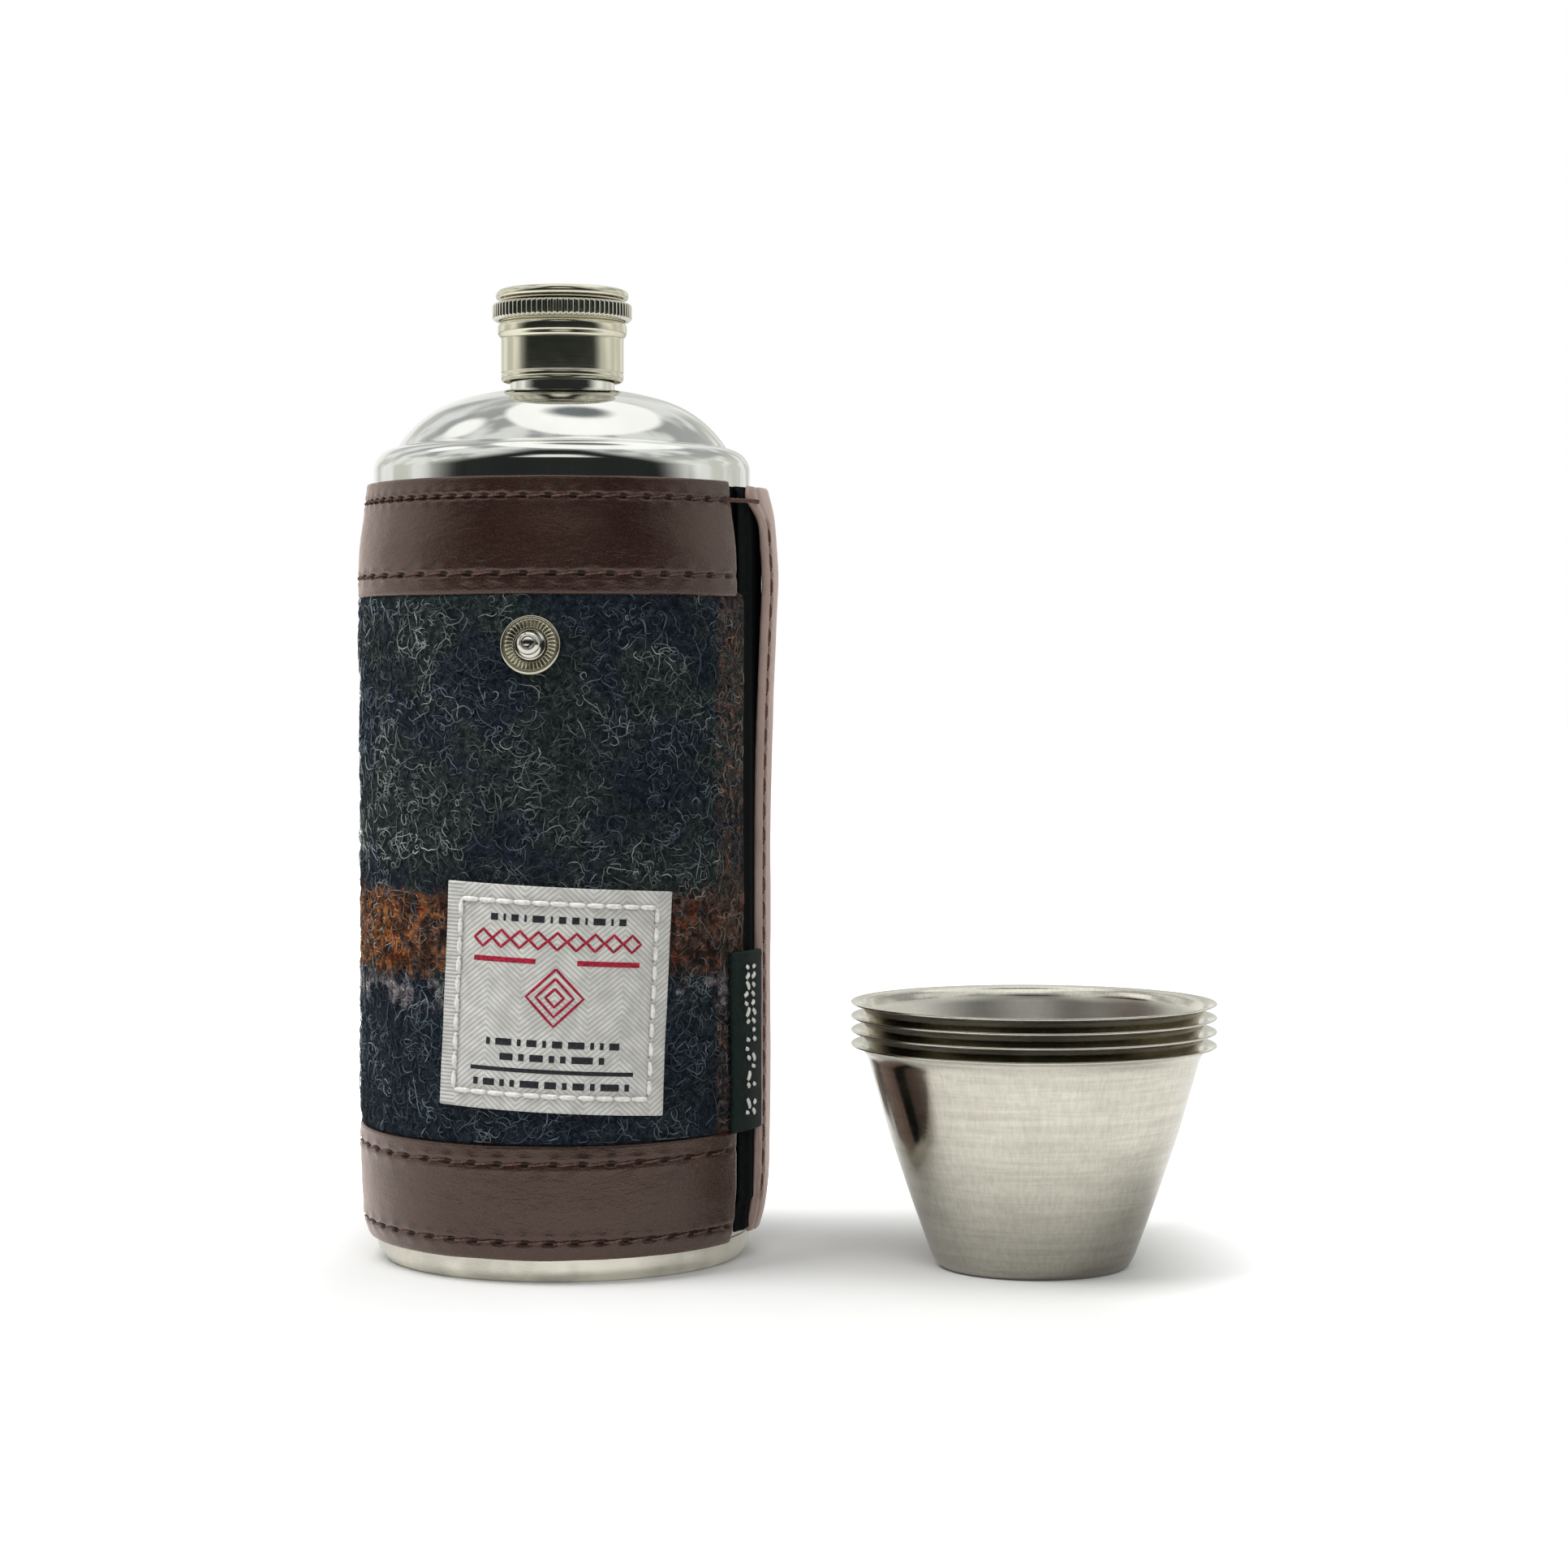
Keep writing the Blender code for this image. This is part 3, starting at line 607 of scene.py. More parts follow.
def label_look():
    """White herringbone tape with a ribbed selvedge down its left edge."""
    look = Look("label_cloth", roughness=0.62, Specular_IOR_Level=0.3)
    across, up = look.flat()
    zigzag = look.maths("PINGPONG", across, 5.6)
    slope = look.plus(up, look.times(zigzag, 0.85))
    rib = look.maths("PINGPONG", slope, 0.46)
    twill = look.between(rib, 0.06, 0.40)
    selvedge = look.between(across, -16.6, -16.2, 1.0, 0.0)
    ribbing = look.maths("SINE", look.times(up, 2 * pi / 0.62))
    weave = look.mix(selvedge, look.join(twill, twill, twill), look.join(ribbing, ribbing, ribbing))
    weave = look.axis(weave, "X")
    soil = look.noise(look.place(), 0.35, 3.0, 0.6)
    pale = look.mix(look.between(soil, 0.3, 0.7), (0.53, 0.52, 0.49), (0.69, 0.68, 0.645))
    # painted shade: the twill's furrows and the selvedge's hollows are darkened grey, where shade falls in
    # them
    look.set(Base_Color=look.mix(look.between(weave, 0.0, 0.7, 0.5, 0.0), pale, (0.27, 0.28, 0.275)))
    look.bump(weave, 0.07, 0.9)
    fine = look.noise(look.place(), 6.0, 2.0, 0.6)
    look.bump(fine, 0.03, 0.6)
    return look.material


# Each steel's name, colour, roughness and stretch of its brush marks, then how far its roughness spreads,
# the marks' depth and how dark its smudges are
STEELS = {
    "base": ("base_steel", (0.80, 0.77, 0.67), 0.33, (0.3, 0.3, 5.0), 0.14, 0.005, 0.3),
    "shoulder": ("shoulder_steel", (0.76, 0.765, 0.73), 0.075, (2.6, 2.6, 0.06), 0.05, 0.0016, 0.08),
    "cap": ("cap_nickel", (0.73, 0.70, 0.56), 0.12, (0.25, 0.25, 7.0), 0.04, 0.0006, 0.06),
    "knurl": ("knurl_nickel", (0.80, 0.78, 0.67), 0.16, (2.0, 2.0, 2.0), 0.06, 0.0015, 0.15),
    "neck": ("neck_steel", (0.86, 0.85, 0.78), 0.12, (0.3, 0.3, 6.0), 0.08, 0.002, 0.1),
    "cup": ("cup_steel", (0.70, 0.67, 0.58), 0.15, (0.22, 0.22, 9.0), 0.08, 0.003, 0.07),
    "stud": ("stud_nickel", (0.56, 0.535, 0.42), 0.2, (2.0, 2.0, 2.0), 0.08, 0.002, 0.2),
    "ball": ("stud_ball_nickel", (0.66, 0.64, 0.58), 0.09, (2.0, 2.0, 2.0), 0.04, 0.001, 0.1),
    "wall": ("wall_steel", (0.72, 0.70, 0.655), 0.3, (0.3, 0.3, 6.0)),
}
BROWN = (0.0185, 0.0068, 0.0050)
STRIP_BROWN = (0.30, 0.22, 0.193)  # paler than the bands, partly as painted highlight for the light along its edge


def make_looks():
    """Every material, by name."""
    steels = {key: steel_look(*row) for key, row in STEELS.items()}
    turned_marks(steels["cap"], 0.23, 0.0006)
    brush_cups(steels["cup"])
    looks = {key: look.material for key, look in steels.items()}
    looks["leather"] = leather_look("brown_leather", BROWN)
    looks["strip"] = leather_look("strip_leather", STRIP_BROWN, 0.32)
    looks["thread"] = thread_look("brown_thread", (0.115, 0.058, 0.046))
    looks["white_thread"] = thread_look("white_thread", (0.80, 0.79, 0.75), 1.6, 0.85)
    looks["red_thread"] = thread_look("red_thread", (0.34, 0.012, 0.035))
    looks["black_thread"] = thread_look("black_thread", (0.016, 0.017, 0.022))
    looks["lining"] = cloth_look("black_cloth", (0.0035, 0.005, 0.0055), 0.55, 0.05)
    looks["tag"] = cloth_look("green_satin", (0.0040, 0.0130, 0.0112), 0.42, 0.04, 0.6, 0.12)
    looks["tweed"] = tweed_look("tweed_cloth", fibre=False)
    looks["fibre"] = tweed_look("tweed_hair", fibre=True)
    looks["label"] = label_look()
    looks["silicone"] = silicone_look()
    return looks


def silicone_look():
    """Milky seal rubber with faint flow marks."""
    look = Look("seal_silicone", roughness=0.55, Subsurface_Weight=0.15)
    cloud = look.noise(look.place(), 0.4, 3.0, 0.6)
    look.set(Base_Color=look.mix(look.between(cloud, 0.3, 0.7), (0.50, 0.50, 0.48), (0.64, 0.64, 0.61)))
    look.bump(cloud, 0.05, 0.5)
    return look.material


LOOKS = make_looks()


# ---------------------------------------------------------------------- bottle

BODY_R = 32.3
SHEET = 0.6
SHOULDER_R, SHOULDER_Z = 3.9, 134.6
KNUCKLE_R, KNUCKLE_CENTRE = 18.9, (12.2, 128.8)
KNUCKLE_FROM, KNUCKLE_TO = 33.0, 74.0
CROWN_R = 63.0
NECK_R = 9.1
THREAD_R, THREAD_PITCH, THREAD_DEPTH, BORE_R = 8.2, 2.4, 0.65, 7.0
THREAD_BOTTOM, THREAD_TOP = NECK_FOOT + 3.8, NECK_TOP - 0.4


def shoulder_outline():
    """The outside of the dome, ledge and shoulder from the neck down, then the inside back up."""
    knuckle = arc(KNUCKLE_CENTRE, KNUCKLE_R, KNUCKLE_TO, KNUCKLE_FROM, 30)
    edge_r, edge_z = knuckle[0]
    radii = np.linspace(NECK_R - 0.5, edge_r, 18)[:-1]
    crown = np.stack([radii, edge_z + (edge_r**2 - radii**2) / (2 * CROWN_R)], -1)
    foot_r, foot_z = knuckle[-1]
    ledge_start = (BODY_R - SHOULDER_R + 0.4, SHOULDER_Z + SHOULDER_R)
    crease = rounded([(foot_r, foot_z), (foot_r + 0.33, ledge_start[1] + 0.05), ledge_start], 0.35, 5)
    rounding = arc((BODY_R - SHOULDER_R, SHOULDER_Z), SHOULDER_R, 82, 0, 14)
    wall_end = node_box("bottle_shoulder")[0][2]
    outer = np.vstack([crown, knuckle, crease[1:], rounding, [(BODY_R, wall_end)]])
    inner = outer[::-1].copy()
    inner[:, 0] -= SHEET * 0.75
    inner[:, 1] -= SHEET * 0.7
    inner[0] = (BODY_R - SHEET, wall_end)
    return np.vstack([outer, inner])


def build_bottle():
    """The pressed base, the domed shoulder and the threaded neck."""
    top = node_box("bottle_base")[1][2]
    rim = BODY_R - 0.3
    base = rounded(
        [(rim, top), (rim - 0.05, 1.9), (rim - 1.5, 0.0), (rim - 4.0, 0.0), (rim - 5.2, 0.5),
         (0.0, 0.5), (0.0, 1.1), (rim - 5.0, 1.1), (rim - 2.0, 0.7), (rim - 0.65, 2.0),
         (rim - 0.6, top)],
        1.3, 7,
    )
    turned("base_pan", base, 128, LOOKS["base"], "flask", ["bottle_base"], closed=True)
    turned(
        "domed_shoulder", shoulder_outline(), 160, LOOKS["shoulder"], "flask",
        ["bottle_shoulder"], closed=True, sharp=75,
    )
    collar = rounded(
        [(THREAD_R, THREAD_BOTTOM), (NECK_R - 0.15, THREAD_BOTTOM - 0.1),
         (NECK_R - 0.12, THREAD_BOTTOM - 0.4), (NECK_R - 0.05, NECK_FOOT + 1.0), (NECK_R, NECK_FOOT)],
        0.1, 3,
    )
    threaded = np.stack([np.full(90, THREAD_R), np.linspace(THREAD_TOP, THREAD_BOTTOM + 0.1, 90)], -1)
    lip = rounded(
        [(BORE_R, NECK_TOP - 1.0), (BORE_R, NECK_TOP), (THREAD_R - 0.5, NECK_TOP), (THREAD_R, THREAD_TOP)],
        0.3, 4,
    )
    outline = np.vstack([lip, threaded[1:], collar[1:], [(BORE_R, NECK_FOOT)]])

    def thread(radius, azimuth, height):
        """A helical ridge that runs out at the neck's ends."""
        turn = height / THREAD_PITCH - azimuth / 360.0
        ridge = np.clip(0.75 + 0.9 * np.cos(2 * pi * turn), 0, 1)
        ends = np.clip((THREAD_TOP - height) / 0.8, 0, 1) * np.clip((height - THREAD_BOTTOM) / 0.4, 0, 1)
        on_thread = np.abs(radius - THREAD_R) < 0.01
        return radius - on_thread * THREAD_DEPTH * (1 - ridge * ends)

    turned(
        "threaded_neck", outline, 96, LOOKS["neck"], "flask", ["neck_collar"], closed=True,
        shape=thread,
    )


SKIRT_R, BEAD_R, RING_R = 10.55, 11.1, 11.95
RIDGES, RIDGE_DEPTH, RIDGE_FOOT_R = 76, 0.5, RING_R - 1.1


def build_cap():
    """The cap's shell, its knurled ring and the disc let into its top."""
    bore_r, seat_r = SKIRT_R - 0.55, RING_R - 1.3
    top = RING_TOP - 0.3
    shell = rounded(
        [(seat_r, top), (seat_r, RING_BOTTOM - 0.25), (BEAD_R - 0.25, RING_BOTTOM - 0.4),
         (BEAD_R, RING_BOTTOM - 0.9), (BEAD_R, RING_BOTTOM - 2.2), (SKIRT_R + 0.05, RING_BOTTOM - 2.9),
         (SKIRT_R, RING_BOTTOM - 3.4),
         (SKIRT_R, CAP_BOTTOM + 1.5), (SKIRT_R - 0.12, CAP_BOTTOM + 1.3), (SKIRT_R, CAP_BOTTOM + 1.1),
         (SKIRT_R, CAP_BOTTOM + 0.5), (SKIRT_R - 0.35, CAP_BOTTOM), (bore_r, CAP_BOTTOM),
         (bore_r, top - 2.2), (0.0, top - 2.2), (0.0, top)],
        0.22, 4, closed=True,
    )
    turned("cap_body", shell, 128, LOOKS["cap"], "screw_cap", ["cap_shell"], closed=True)

    ring = rounded(
        [(RING_R - 0.5, RING_TOP), (RING_R, RING_TOP - 0.35), (RING_R, RING_BOTTOM + 0.35),
         (RING_R - 0.5, RING_BOTTOM), (RIDGE_FOOT_R, RING_BOTTOM), (RIDGE_FOOT_R, RING_TOP)],
        0.2, 4, closed=True,
    )

    def knurl(radius, azimuth, height):
        """Rounded ridges with narrow valleys between them."""
        wave = np.abs(np.sin(np.radians(azimuth) * RIDGES / 2)) ** 0.6
        reach = np.clip((radius - RIDGE_FOOT_R) / (RING_R - RIDGE_FOOT_R), 0, 1) ** 3
        return radius - RIDGE_DEPTH * (1 - wave) * reach

    turned(
        "knurled_grip", ring, RIDGES * 8, LOOKS["knurl"], "screw_cap", ["cap_knurled_ring"],
        closed=True, shape=knurl, sharp=70,
    )
    low = RING_TOP + 0.3
    disc = rounded(
        [(0.0, CAP_TOP - 0.75), (9.2, CAP_TOP - 0.75), (9.7, CAP_TOP - 0.1), (10.4, CAP_TOP),
         (11.2, CAP_TOP - 0.35), (11.45, CAP_TOP - 1.0), (11.3, low + 0.5), (10.6, low + 0.3), (10.6, low),
         (0.0, low)],
        0.35, 5,
    )
    turned("cap_top", disc, 128, LOOKS["cap"], "screw_cap", ["cap_top_disc"])


# ---------------------------------------------------------------------- sleeve

TWEED_R, TWEED_SHEET = 34.7, 1.3
BAND_SHEET = 0.8
TWEED_END, BAND_END = 25.4, 30.3  # degrees from the seam
TWEED_STEP = radians(1.0) * TWEED_R  # millimetres round the tweed for a degree
LINING_R, SEAM_R = 33.0, 35.0
TOP_BAND = [(34.9, 113.4), (34.9, 116.0), (34.7, 121.5), (33.9, 127.0), (33.4, 132.0)]
BOTTOM_BAND = [(33.5, 5.0), (34.2, 7.5), (34.5, 11.0), (34.8, 15.0), (34.85, 23.3)]
STRIP = [
    (33.7, 4.6), (34.8, 9.0), (35.5, 16.0), (35.7, 30.0), (35.7, 60.0), (35.8, 80.0), (36.1, 92.0),
    (36.7, 107.0), (37.05, 115.0), (36.8, 121.0), (36.3, 127.0), (35.2, 132.0),
]
BACKING = [(33.3, 8.0), (33.9, 12.0), (34.2, 16.0), (34.2, 122.0), (33.4, 131.0)]
STITCH_PITCH, SHORT_PITCH = 4.8, 3.1
HOLE_HALF_LENGTH, HOLE_HALF_HEIGHT, HOLE_DEPTH = 1.0, 0.46, 0.5
THREAD_THICK, BAND_THREAD_THICK = 0.2, 0.17  # radii
TOP_ROW = BAND_TOP - 2.9
BACKING_END, TURNING, STRIP_END = 26.5, 20.64, 16.0  # degrees from the seam
STRIP_CORNER, STRIP_LEAN, LEAN_FROM, LEAN_OVER = 2.6, 4.6, 124.5, 5.5
ROW_INSET = 2.0


def profile(outline, samples=200):
    """A function from height to radius, on a smooth curve through an outline that rises."""
    curve = smooth_line(outline, samples)
    return lambda height: np.interp(height, curve[:, 1], curve[:, 0])


def spread(start, end, pitch):
    """Places along a row, the pitch apart, from just inside one end to the other."""
    count = max(1, int(round((end - start) / pitch)))
    return start + (np.arange(count) + 0.5) * (end - start) / count


def dense(start, end, coarse, fine, rows, reach=1.3):
    """Levels from start to end, close together near the stitch rows and wider elsewhere."""
    levels = [start]
    while levels[-1] < end:
        near = min((abs(levels[-1] - row) for row in rows), default=99)
        levels.append(levels[-1] + (fine if near < reach else coarse))
    levels[-1] = end
    return np.array(levels)


def hole_gap(along, places):
    """How far each point is from the nearest hole along its row."""
    following = np.searchsorted(places, along)
    after = places[np.clip(following, 1, len(places) - 1)]
    before = places[np.clip(following - 1, 0, len(places) - 1)]
    return np.minimum(np.abs(along - after), np.abs(along - before))


def hole_depth(along, across, places):
    """How deep each point is in a row of stitch holes, from 0 to 1."""
    gap = hole_gap(along, places)
    shape = (gap / HOLE_HALF_LENGTH) ** 2 + (across / HOLE_HALF_HEIGHT) ** 2
    return np.clip(1.35 - shape, 0, 1)


def pucker(along, across, places):
    """Leather drawn down at each hole and standing up a little above and below the thread."""
    gap = hole_gap(along, places)
    swell = np.exp(-((gap / 1.1) ** 2)) * np.exp(-(((np.abs(across) - 0.95) / 0.5) ** 2))
    groove = np.exp(-((across / 0.55) ** 2))
    return 0.13 * swell - 0.16 * groove


def stitch_paths(middles, along, out, length, lift, sink, points=9):
    """The threads' paths: each comes up out of its hole, lies along the row and goes down again."""
    t = np.linspace(-1, 1, points)
    height = lift - (lift + sink) * np.abs(t) ** 5
    reach = t * np.broadcast_to(length, len(middles))[:, None] / 2
    return middles[:, None] + along[:, None] * reach[..., None] + out[:, None] * height[:, None]


def add_stitches(name, middles, along, out, length, radius, look, lift=0.05, sink=0.45):
    """A row of threads on the flask, of the given length, one at each middle."""
    paths = stitch_paths(middles, unit(along), unit(out), length, lift, sink)
    taper = radius * (1 - 0.35 * np.abs(np.linspace(-1, 1, paths.shape[1])) ** 4)
    tubes(name, paths, taper, 8, look, "flask")


def add_band(name, node, outline, rows, wave):
    """A leather band round the sleeve with two stitched rows. rows are (height, pitch, pitch on the left)."""
    radius = profile(outline)
    start, end = SEAM_AZIMUTH + BAND_END - 360.0, SEAM_AZIMUTH - BAND_END
    scale = TWEED_STEP
    bottom, top = outline[0][1], outline[-1][1]
    holes = {}
    for height, pitch, left_pitch in rows:
        left = spread(start * scale, -6.0 * scale, left_pitch)
        right = spread(-6.0 * scale, end * scale, pitch)
        holes[height] = np.concatenate([left, right])

    def drop(azimuth):
        """The band's edges dip a little at the front and rise at the sides."""
        return wave * (np.cos(np.radians(azimuth)) * -0.5 - 0.1)

    def surface(u, v):
        return around(radius(v), u / scale, v + drop(u / scale))

    def relief(u, v):
        soft = 0.09 * value_noise(u / 9.0, v / 5.0, SEED) + 0.03 * value_noise(u / 2.4, v / 0.9, SEED + 1)
        for height, places in holes.items():
            soft = soft + pucker(u, v - height, places)
            soft = soft - HOLE_DEPTH * hole_depth(u, v - height, places)
        return soft

    def hole(u, v):
        return np.maximum.reduce([hole_depth(u, v - height, places) for height, places in holes.items()])

    us = np.linspace(start * scale, end * scale, 470)
    vs = dense(bottom, top, 0.6, 0.22, [row[0] for row in rows])
    thick_sheet(
        name, us, vs, surface, BAND_SHEET, LOOKS["leather"], [node], relief, hole,
    )
    for number, (height, _, _) in enumerate(rows):
        places = holes[height]
        middles, lengths = (places[1:] + places[:-1]) / 2, np.diff(places)
        azimuth = middles / scale
        points = around(radius(height) - 0.06, azimuth, height + drop(azimuth))
        along = unit(around(1.0, azimuth + 90.0, 0.0) + [0.0, 0.0, 0.13])
        paths = stitch_paths(points, along, around(1.0, azimuth, 0.0), lengths - 1.25, 0.09, 0.4)
        tubes(
            f"{name}_thread_{number + 1}", paths, BAND_THREAD_THICK, 8, LOOKS["thread"], "flask",
        )


def build_bands():
    """The two leather bands of the sleeve."""
    add_band(
        "top_band", "top_leather_band", TOP_BAND,
        [(TOP_BAND[0][1] + 3.0, STITCH_PITCH, STITCH_PITCH), (TOP_ROW, 4.5, SHORT_PITCH)], 0.0,
    )
    add_band(
        "bottom_band", "bottom_leather_band", BOTTOM_BAND,
        [(BOTTOM_BAND[0][1] + 2.8, 4.4, 4.4), (BOTTOM_BAND[-1][1] - 2.6, 4.6, 4.6)], 1.1,
    )


def tweed_radius(arc_length, height):
    """The tweed's outer face: slightly uneven, and tucked under the leather bands at its edges."""
    uneven = 0.10 * value_noise(arc_length / 11.0, height / 11.0, SEED + 2)
    lumps = 0.05 * value_noise(arc_length / 1.5, height / 1.5, SEED + 3)
    tuck_top = np.clip((height - (TWEED_TOP - 1.0)) / 1.6, 0, 1) ** 2
    tuck_bottom = np.clip((TWEED_BOTTOM + 1.0 - height) / 1.6, 0, 1) ** 2
    return TWEED_R - 0.1 + uneven + lumps - 0.75 * np.maximum(tuck_top, tuck_bottom)


def build_tweed():
    """The tweed panel and the loose curly hairs that stand out of it."""
    scale = TWEED_STEP
    start, end = SEAM_AZIMUTH + TWEED_END - 360.0, SEAM_AZIMUTH - TWEED_END

    def surface(u, v):
        return around(tweed_radius(u, v), u / scale, v)

    us = np.linspace(start * scale, end * scale, 330)
    vs = np.linspace(TWEED_BOTTOM - 0.8, TWEED_TOP + 0.8, 150)
    panel = thick_sheet(
        "tweed_cloth", us, vs, surface, TWEED_SHEET, LOOKS["tweed"], ["tweed_panel"]
    )
    add_hairs("tweed_hairs_short", 9500, (1.4, 3.8), (0.06, 0.12), 0.28, SEED + 4)
    add_hairs("tweed_hairs_long", 1500, (3.5, 8.0), (0.06, 0.10), 0.45, SEED + 5)


def add_hairs(name, count, lengths, radii, rise, seed):
    """Loose wool hairs that curl over the tweed."""
    rng = np.random.default_rng(seed)
    scale = TWEED_STEP
    start, end = SEAM_AZIMUTH + TWEED_END - 360.0 + 1.5, SEAM_AZIMUTH - TWEED_END - 1.0
    points = 9
    s = rng.uniform(start * scale, end * scale, count)
    z = rng.uniform(TWEED_BOTTOM + 1.2, TWEED_TOP - 1.2, count)
    clear = (s**2 + (z - STUD_Z) ** 2) > (STUD_FLANGE_R + 1.0) ** 2
    s, z = s[clear], z[clear]
    count = len(s)
    length = rng.uniform(*lengths, count)
    heading = rng.uniform(0, 2 * pi, count)
    curl = rng.normal(0, 0.75, (count, points)).cumsum(1) * 0.6
    bend = curl + rng.normal(0, 0.3, (count, 1)) * np.arange(points)
    step = length[:, None] / (points - 1)
    across = s[:, None] + np.cumsum(np.cos(heading[:, None] + bend) * step, 1)
    up = z[:, None] + np.cumsum(np.sin(heading[:, None] + bend) * step, 1)
    across = np.clip(across, start * scale, end * scale)
    up = np.clip(up, TWEED_BOTTOM + 0.2, TWEED_TOP - 0.2)
    t = np.linspace(0, 1, points)
    crest = rise * rng.uniform(0.25, 1.0, (count, 1))
    lift = crest * np.sin(pi * t) ** 0.7 + 0.02
    paths = around(tweed_radius(across, up) + lift, across / scale, up)
    thick = rng.uniform(*radii, (count, 1)) * (1 - 0.5 * np.abs(2 * t - 1) ** 3)
    # painted light: the hairs' tint is made paler towards the left side, where the light falls
    left = np.clip((-20.0 - s / scale) / 25.0, 0, 1)
    clump = 0.8 + 0.75 * value_noise(s / 4.5, z / 4.5, SEED + 11)
    tint = np.clip(rng.beta(1.3, 2.8, count) * clump * (1.0 + 0.5 * left), 0, 1)
    values = {"tint": tint, "kind": rng.random(count)}
    return tubes(name, paths, thick, 3, LOOKS["fibre"], "flask", values, sharp=180.0)


def build_lining():
    """The black lining round the bottle, with its turned top edge."""
    top, bottom = BAND_TOP - 0.7, 6.5
    tall = [(33.15, bottom), (33.1, 20.0), (33.15, 100.0), (33.15, 122.0), (32.95, 128.0), (32.95, top)]
    radius = profile(tall)

    def surface(u, v):
        return around(radius(v), u / (radians(1.0) * LINING_R), v)

    us = np.linspace(0, 2 * pi * LINING_R, 145)
    vs = np.linspace(bottom, top, 60)
    lining = thick_sheet(
        "lining_cloth", us, vs, surface, 0.45, LOOKS["lining"], ["sleeve_lining"]
    )


def build_seam():
    """The black cloth at the seam and the leather strip sewn over it."""
    strip_r, backing_r = profile(STRIP), profile(BACKING)
    scale = radians(1.0) * SEAM_R

    def backing_surface(u, v):
        fold = 0.35 * np.exp(-(((np.abs(u) - TURNING * scale) / 1.1) ** 2))
        return around(backing_r(v) + fold, SEAM_AZIMUTH + u / scale, v)

    half = BACKING_END * scale
    us = np.linspace(-half, half, 60)
    vs = np.linspace(6.0, BAND_TOP - 0.5, 120)
    # the black cloth at the seam stands partly for the shade in the gap between the band's end and the strip:
    # partly painted shade
    backing = thick_sheet(
        "seam_cloth", us, vs, backing_surface, 0.4, LOOKS["lining"], ["seam_backing"]
    )

    bottom, top, width = STRIP[0][1], STRIP[-1][1], STRIP_END * scale - 0.4
    places = spread(bottom + 4.5, top - 4.5, 4.3)

    def corner(v):
        """How much narrower the strip is where its corners are rounded."""
        near = np.clip(1 - np.minimum(v - bottom, top - v) / STRIP_CORNER, 0, 1)
        return STRIP_CORNER * (1 - np.sqrt(1 - near**2 * 0.98))

    def lean(v):
        """How far the strip's front edge leans forward at its top."""
        return STRIP_LEAN * eased(np.clip((v - LEAN_FROM) / LEAN_OVER, 0, 1))

    def strip_surface(u, v):
        side = u / width * (width - corner(v)) + np.minimum(u / width, 0) * lean(v)
        crown = 0.45 * (1 - (u / width) ** 2) - 0.25 * np.abs(u / width) ** 6
        return around(strip_r(v) + crown - 0.35, SEAM_AZIMUTH + side / scale, v)

    def edge_row(u):
        return np.abs(u) - (width - ROW_INSET)

    def relief(u, v):
        soft = 0.07 * value_noise(u / 6.0 + 9, v / 7.0, SEED + 6)
        return soft + pucker(v, edge_row(u), places) - HOLE_DEPTH * hole_depth(v, edge_row(u), places)

    def hole(u, v):
        return hole_depth(v, edge_row(u), places)

    fine = dense(0.0, width, 0.7, 0.22, [width - ROW_INSET])
    us = np.concatenate([-fine[:0:-1], fine])
    vs = np.linspace(bottom + 0.45, top - 0.45, 330)
    thick_sheet(
        "seam_strip_leather", us, vs, strip_surface, 0.9, LOOKS["strip"],
        ["seam_strip"], relief, hole,
    )
    for number, side in enumerate((-1, 1)):
        middles = (places[1:] + places[:-1]) / 2
        across = np.full(len(middles), side * (width - ROW_INSET))
        points = strip_surface(across, middles)
        azimuth = SEAM_AZIMUTH + across / scale
        out = around(1.0, azimuth, 0.0)
        along = strip_surface(across, middles + 0.5) - points
        add_stitches(
            f"seam_strip_thread_{number + 1}", points, along, out, places[1] - places[0] - 0.9, THREAD_THICK,
            LOOKS["thread"],
        )


def build_bridge():
    """The top row's thread, where it crosses the gap from the band to the strip."""
    paths = []
    for shift in (-0.16, 0.16):
        radii = np.array([33.2, 34.0, 34.6, 35.4, 36.0, 36.1, 35.6])
        azimuths = np.array([63.0, 63.8, 66.0, 69.5, 72.0, 74.5, 75.5])
        paths.append(smooth_line(around(radii, azimuths, TOP_ROW + shift), 24))
    tubes("seam_bridge_thread", paths, 0.19, 8, LOOKS["thread"], "flask")


# --------------------------------------------------------------- label and tag

LABEL_SIZE = (38.5, 36.8)
LABEL_AZIMUTH, LABEL_Z, LABEL_TILT, LABEL_R = 6.2, 47.0, -3.0, 35.45


def on_label(across, up, lift=0.0):
    """The point on the label's face at a place measured from its middle."""
    tilt = radians(LABEL_TILT)
    turned_across = across * cos(tilt) - up * sin(tilt)
    turned_up = across * sin(tilt) + up * cos(tilt)
    azimuth = LABEL_AZIMUTH + np.degrees(turned_across / LABEL_R)
    return around(LABEL_R + lift, azimuth, LABEL_Z + turned_up)


def label_lift(across, up):
    """The label's slight waviness, and its corners that lift off the tweed."""
    width, height = LABEL_SIZE
    corner = np.clip(np.abs(across) * 2 / width + np.abs(up) * 2 / height - 1.5, 0, 1)
    return 0.08 * value_noise(across / 6.0 + 20, up / 6.0 + 20, SEED + 7) + 0.55 * corner**1.5


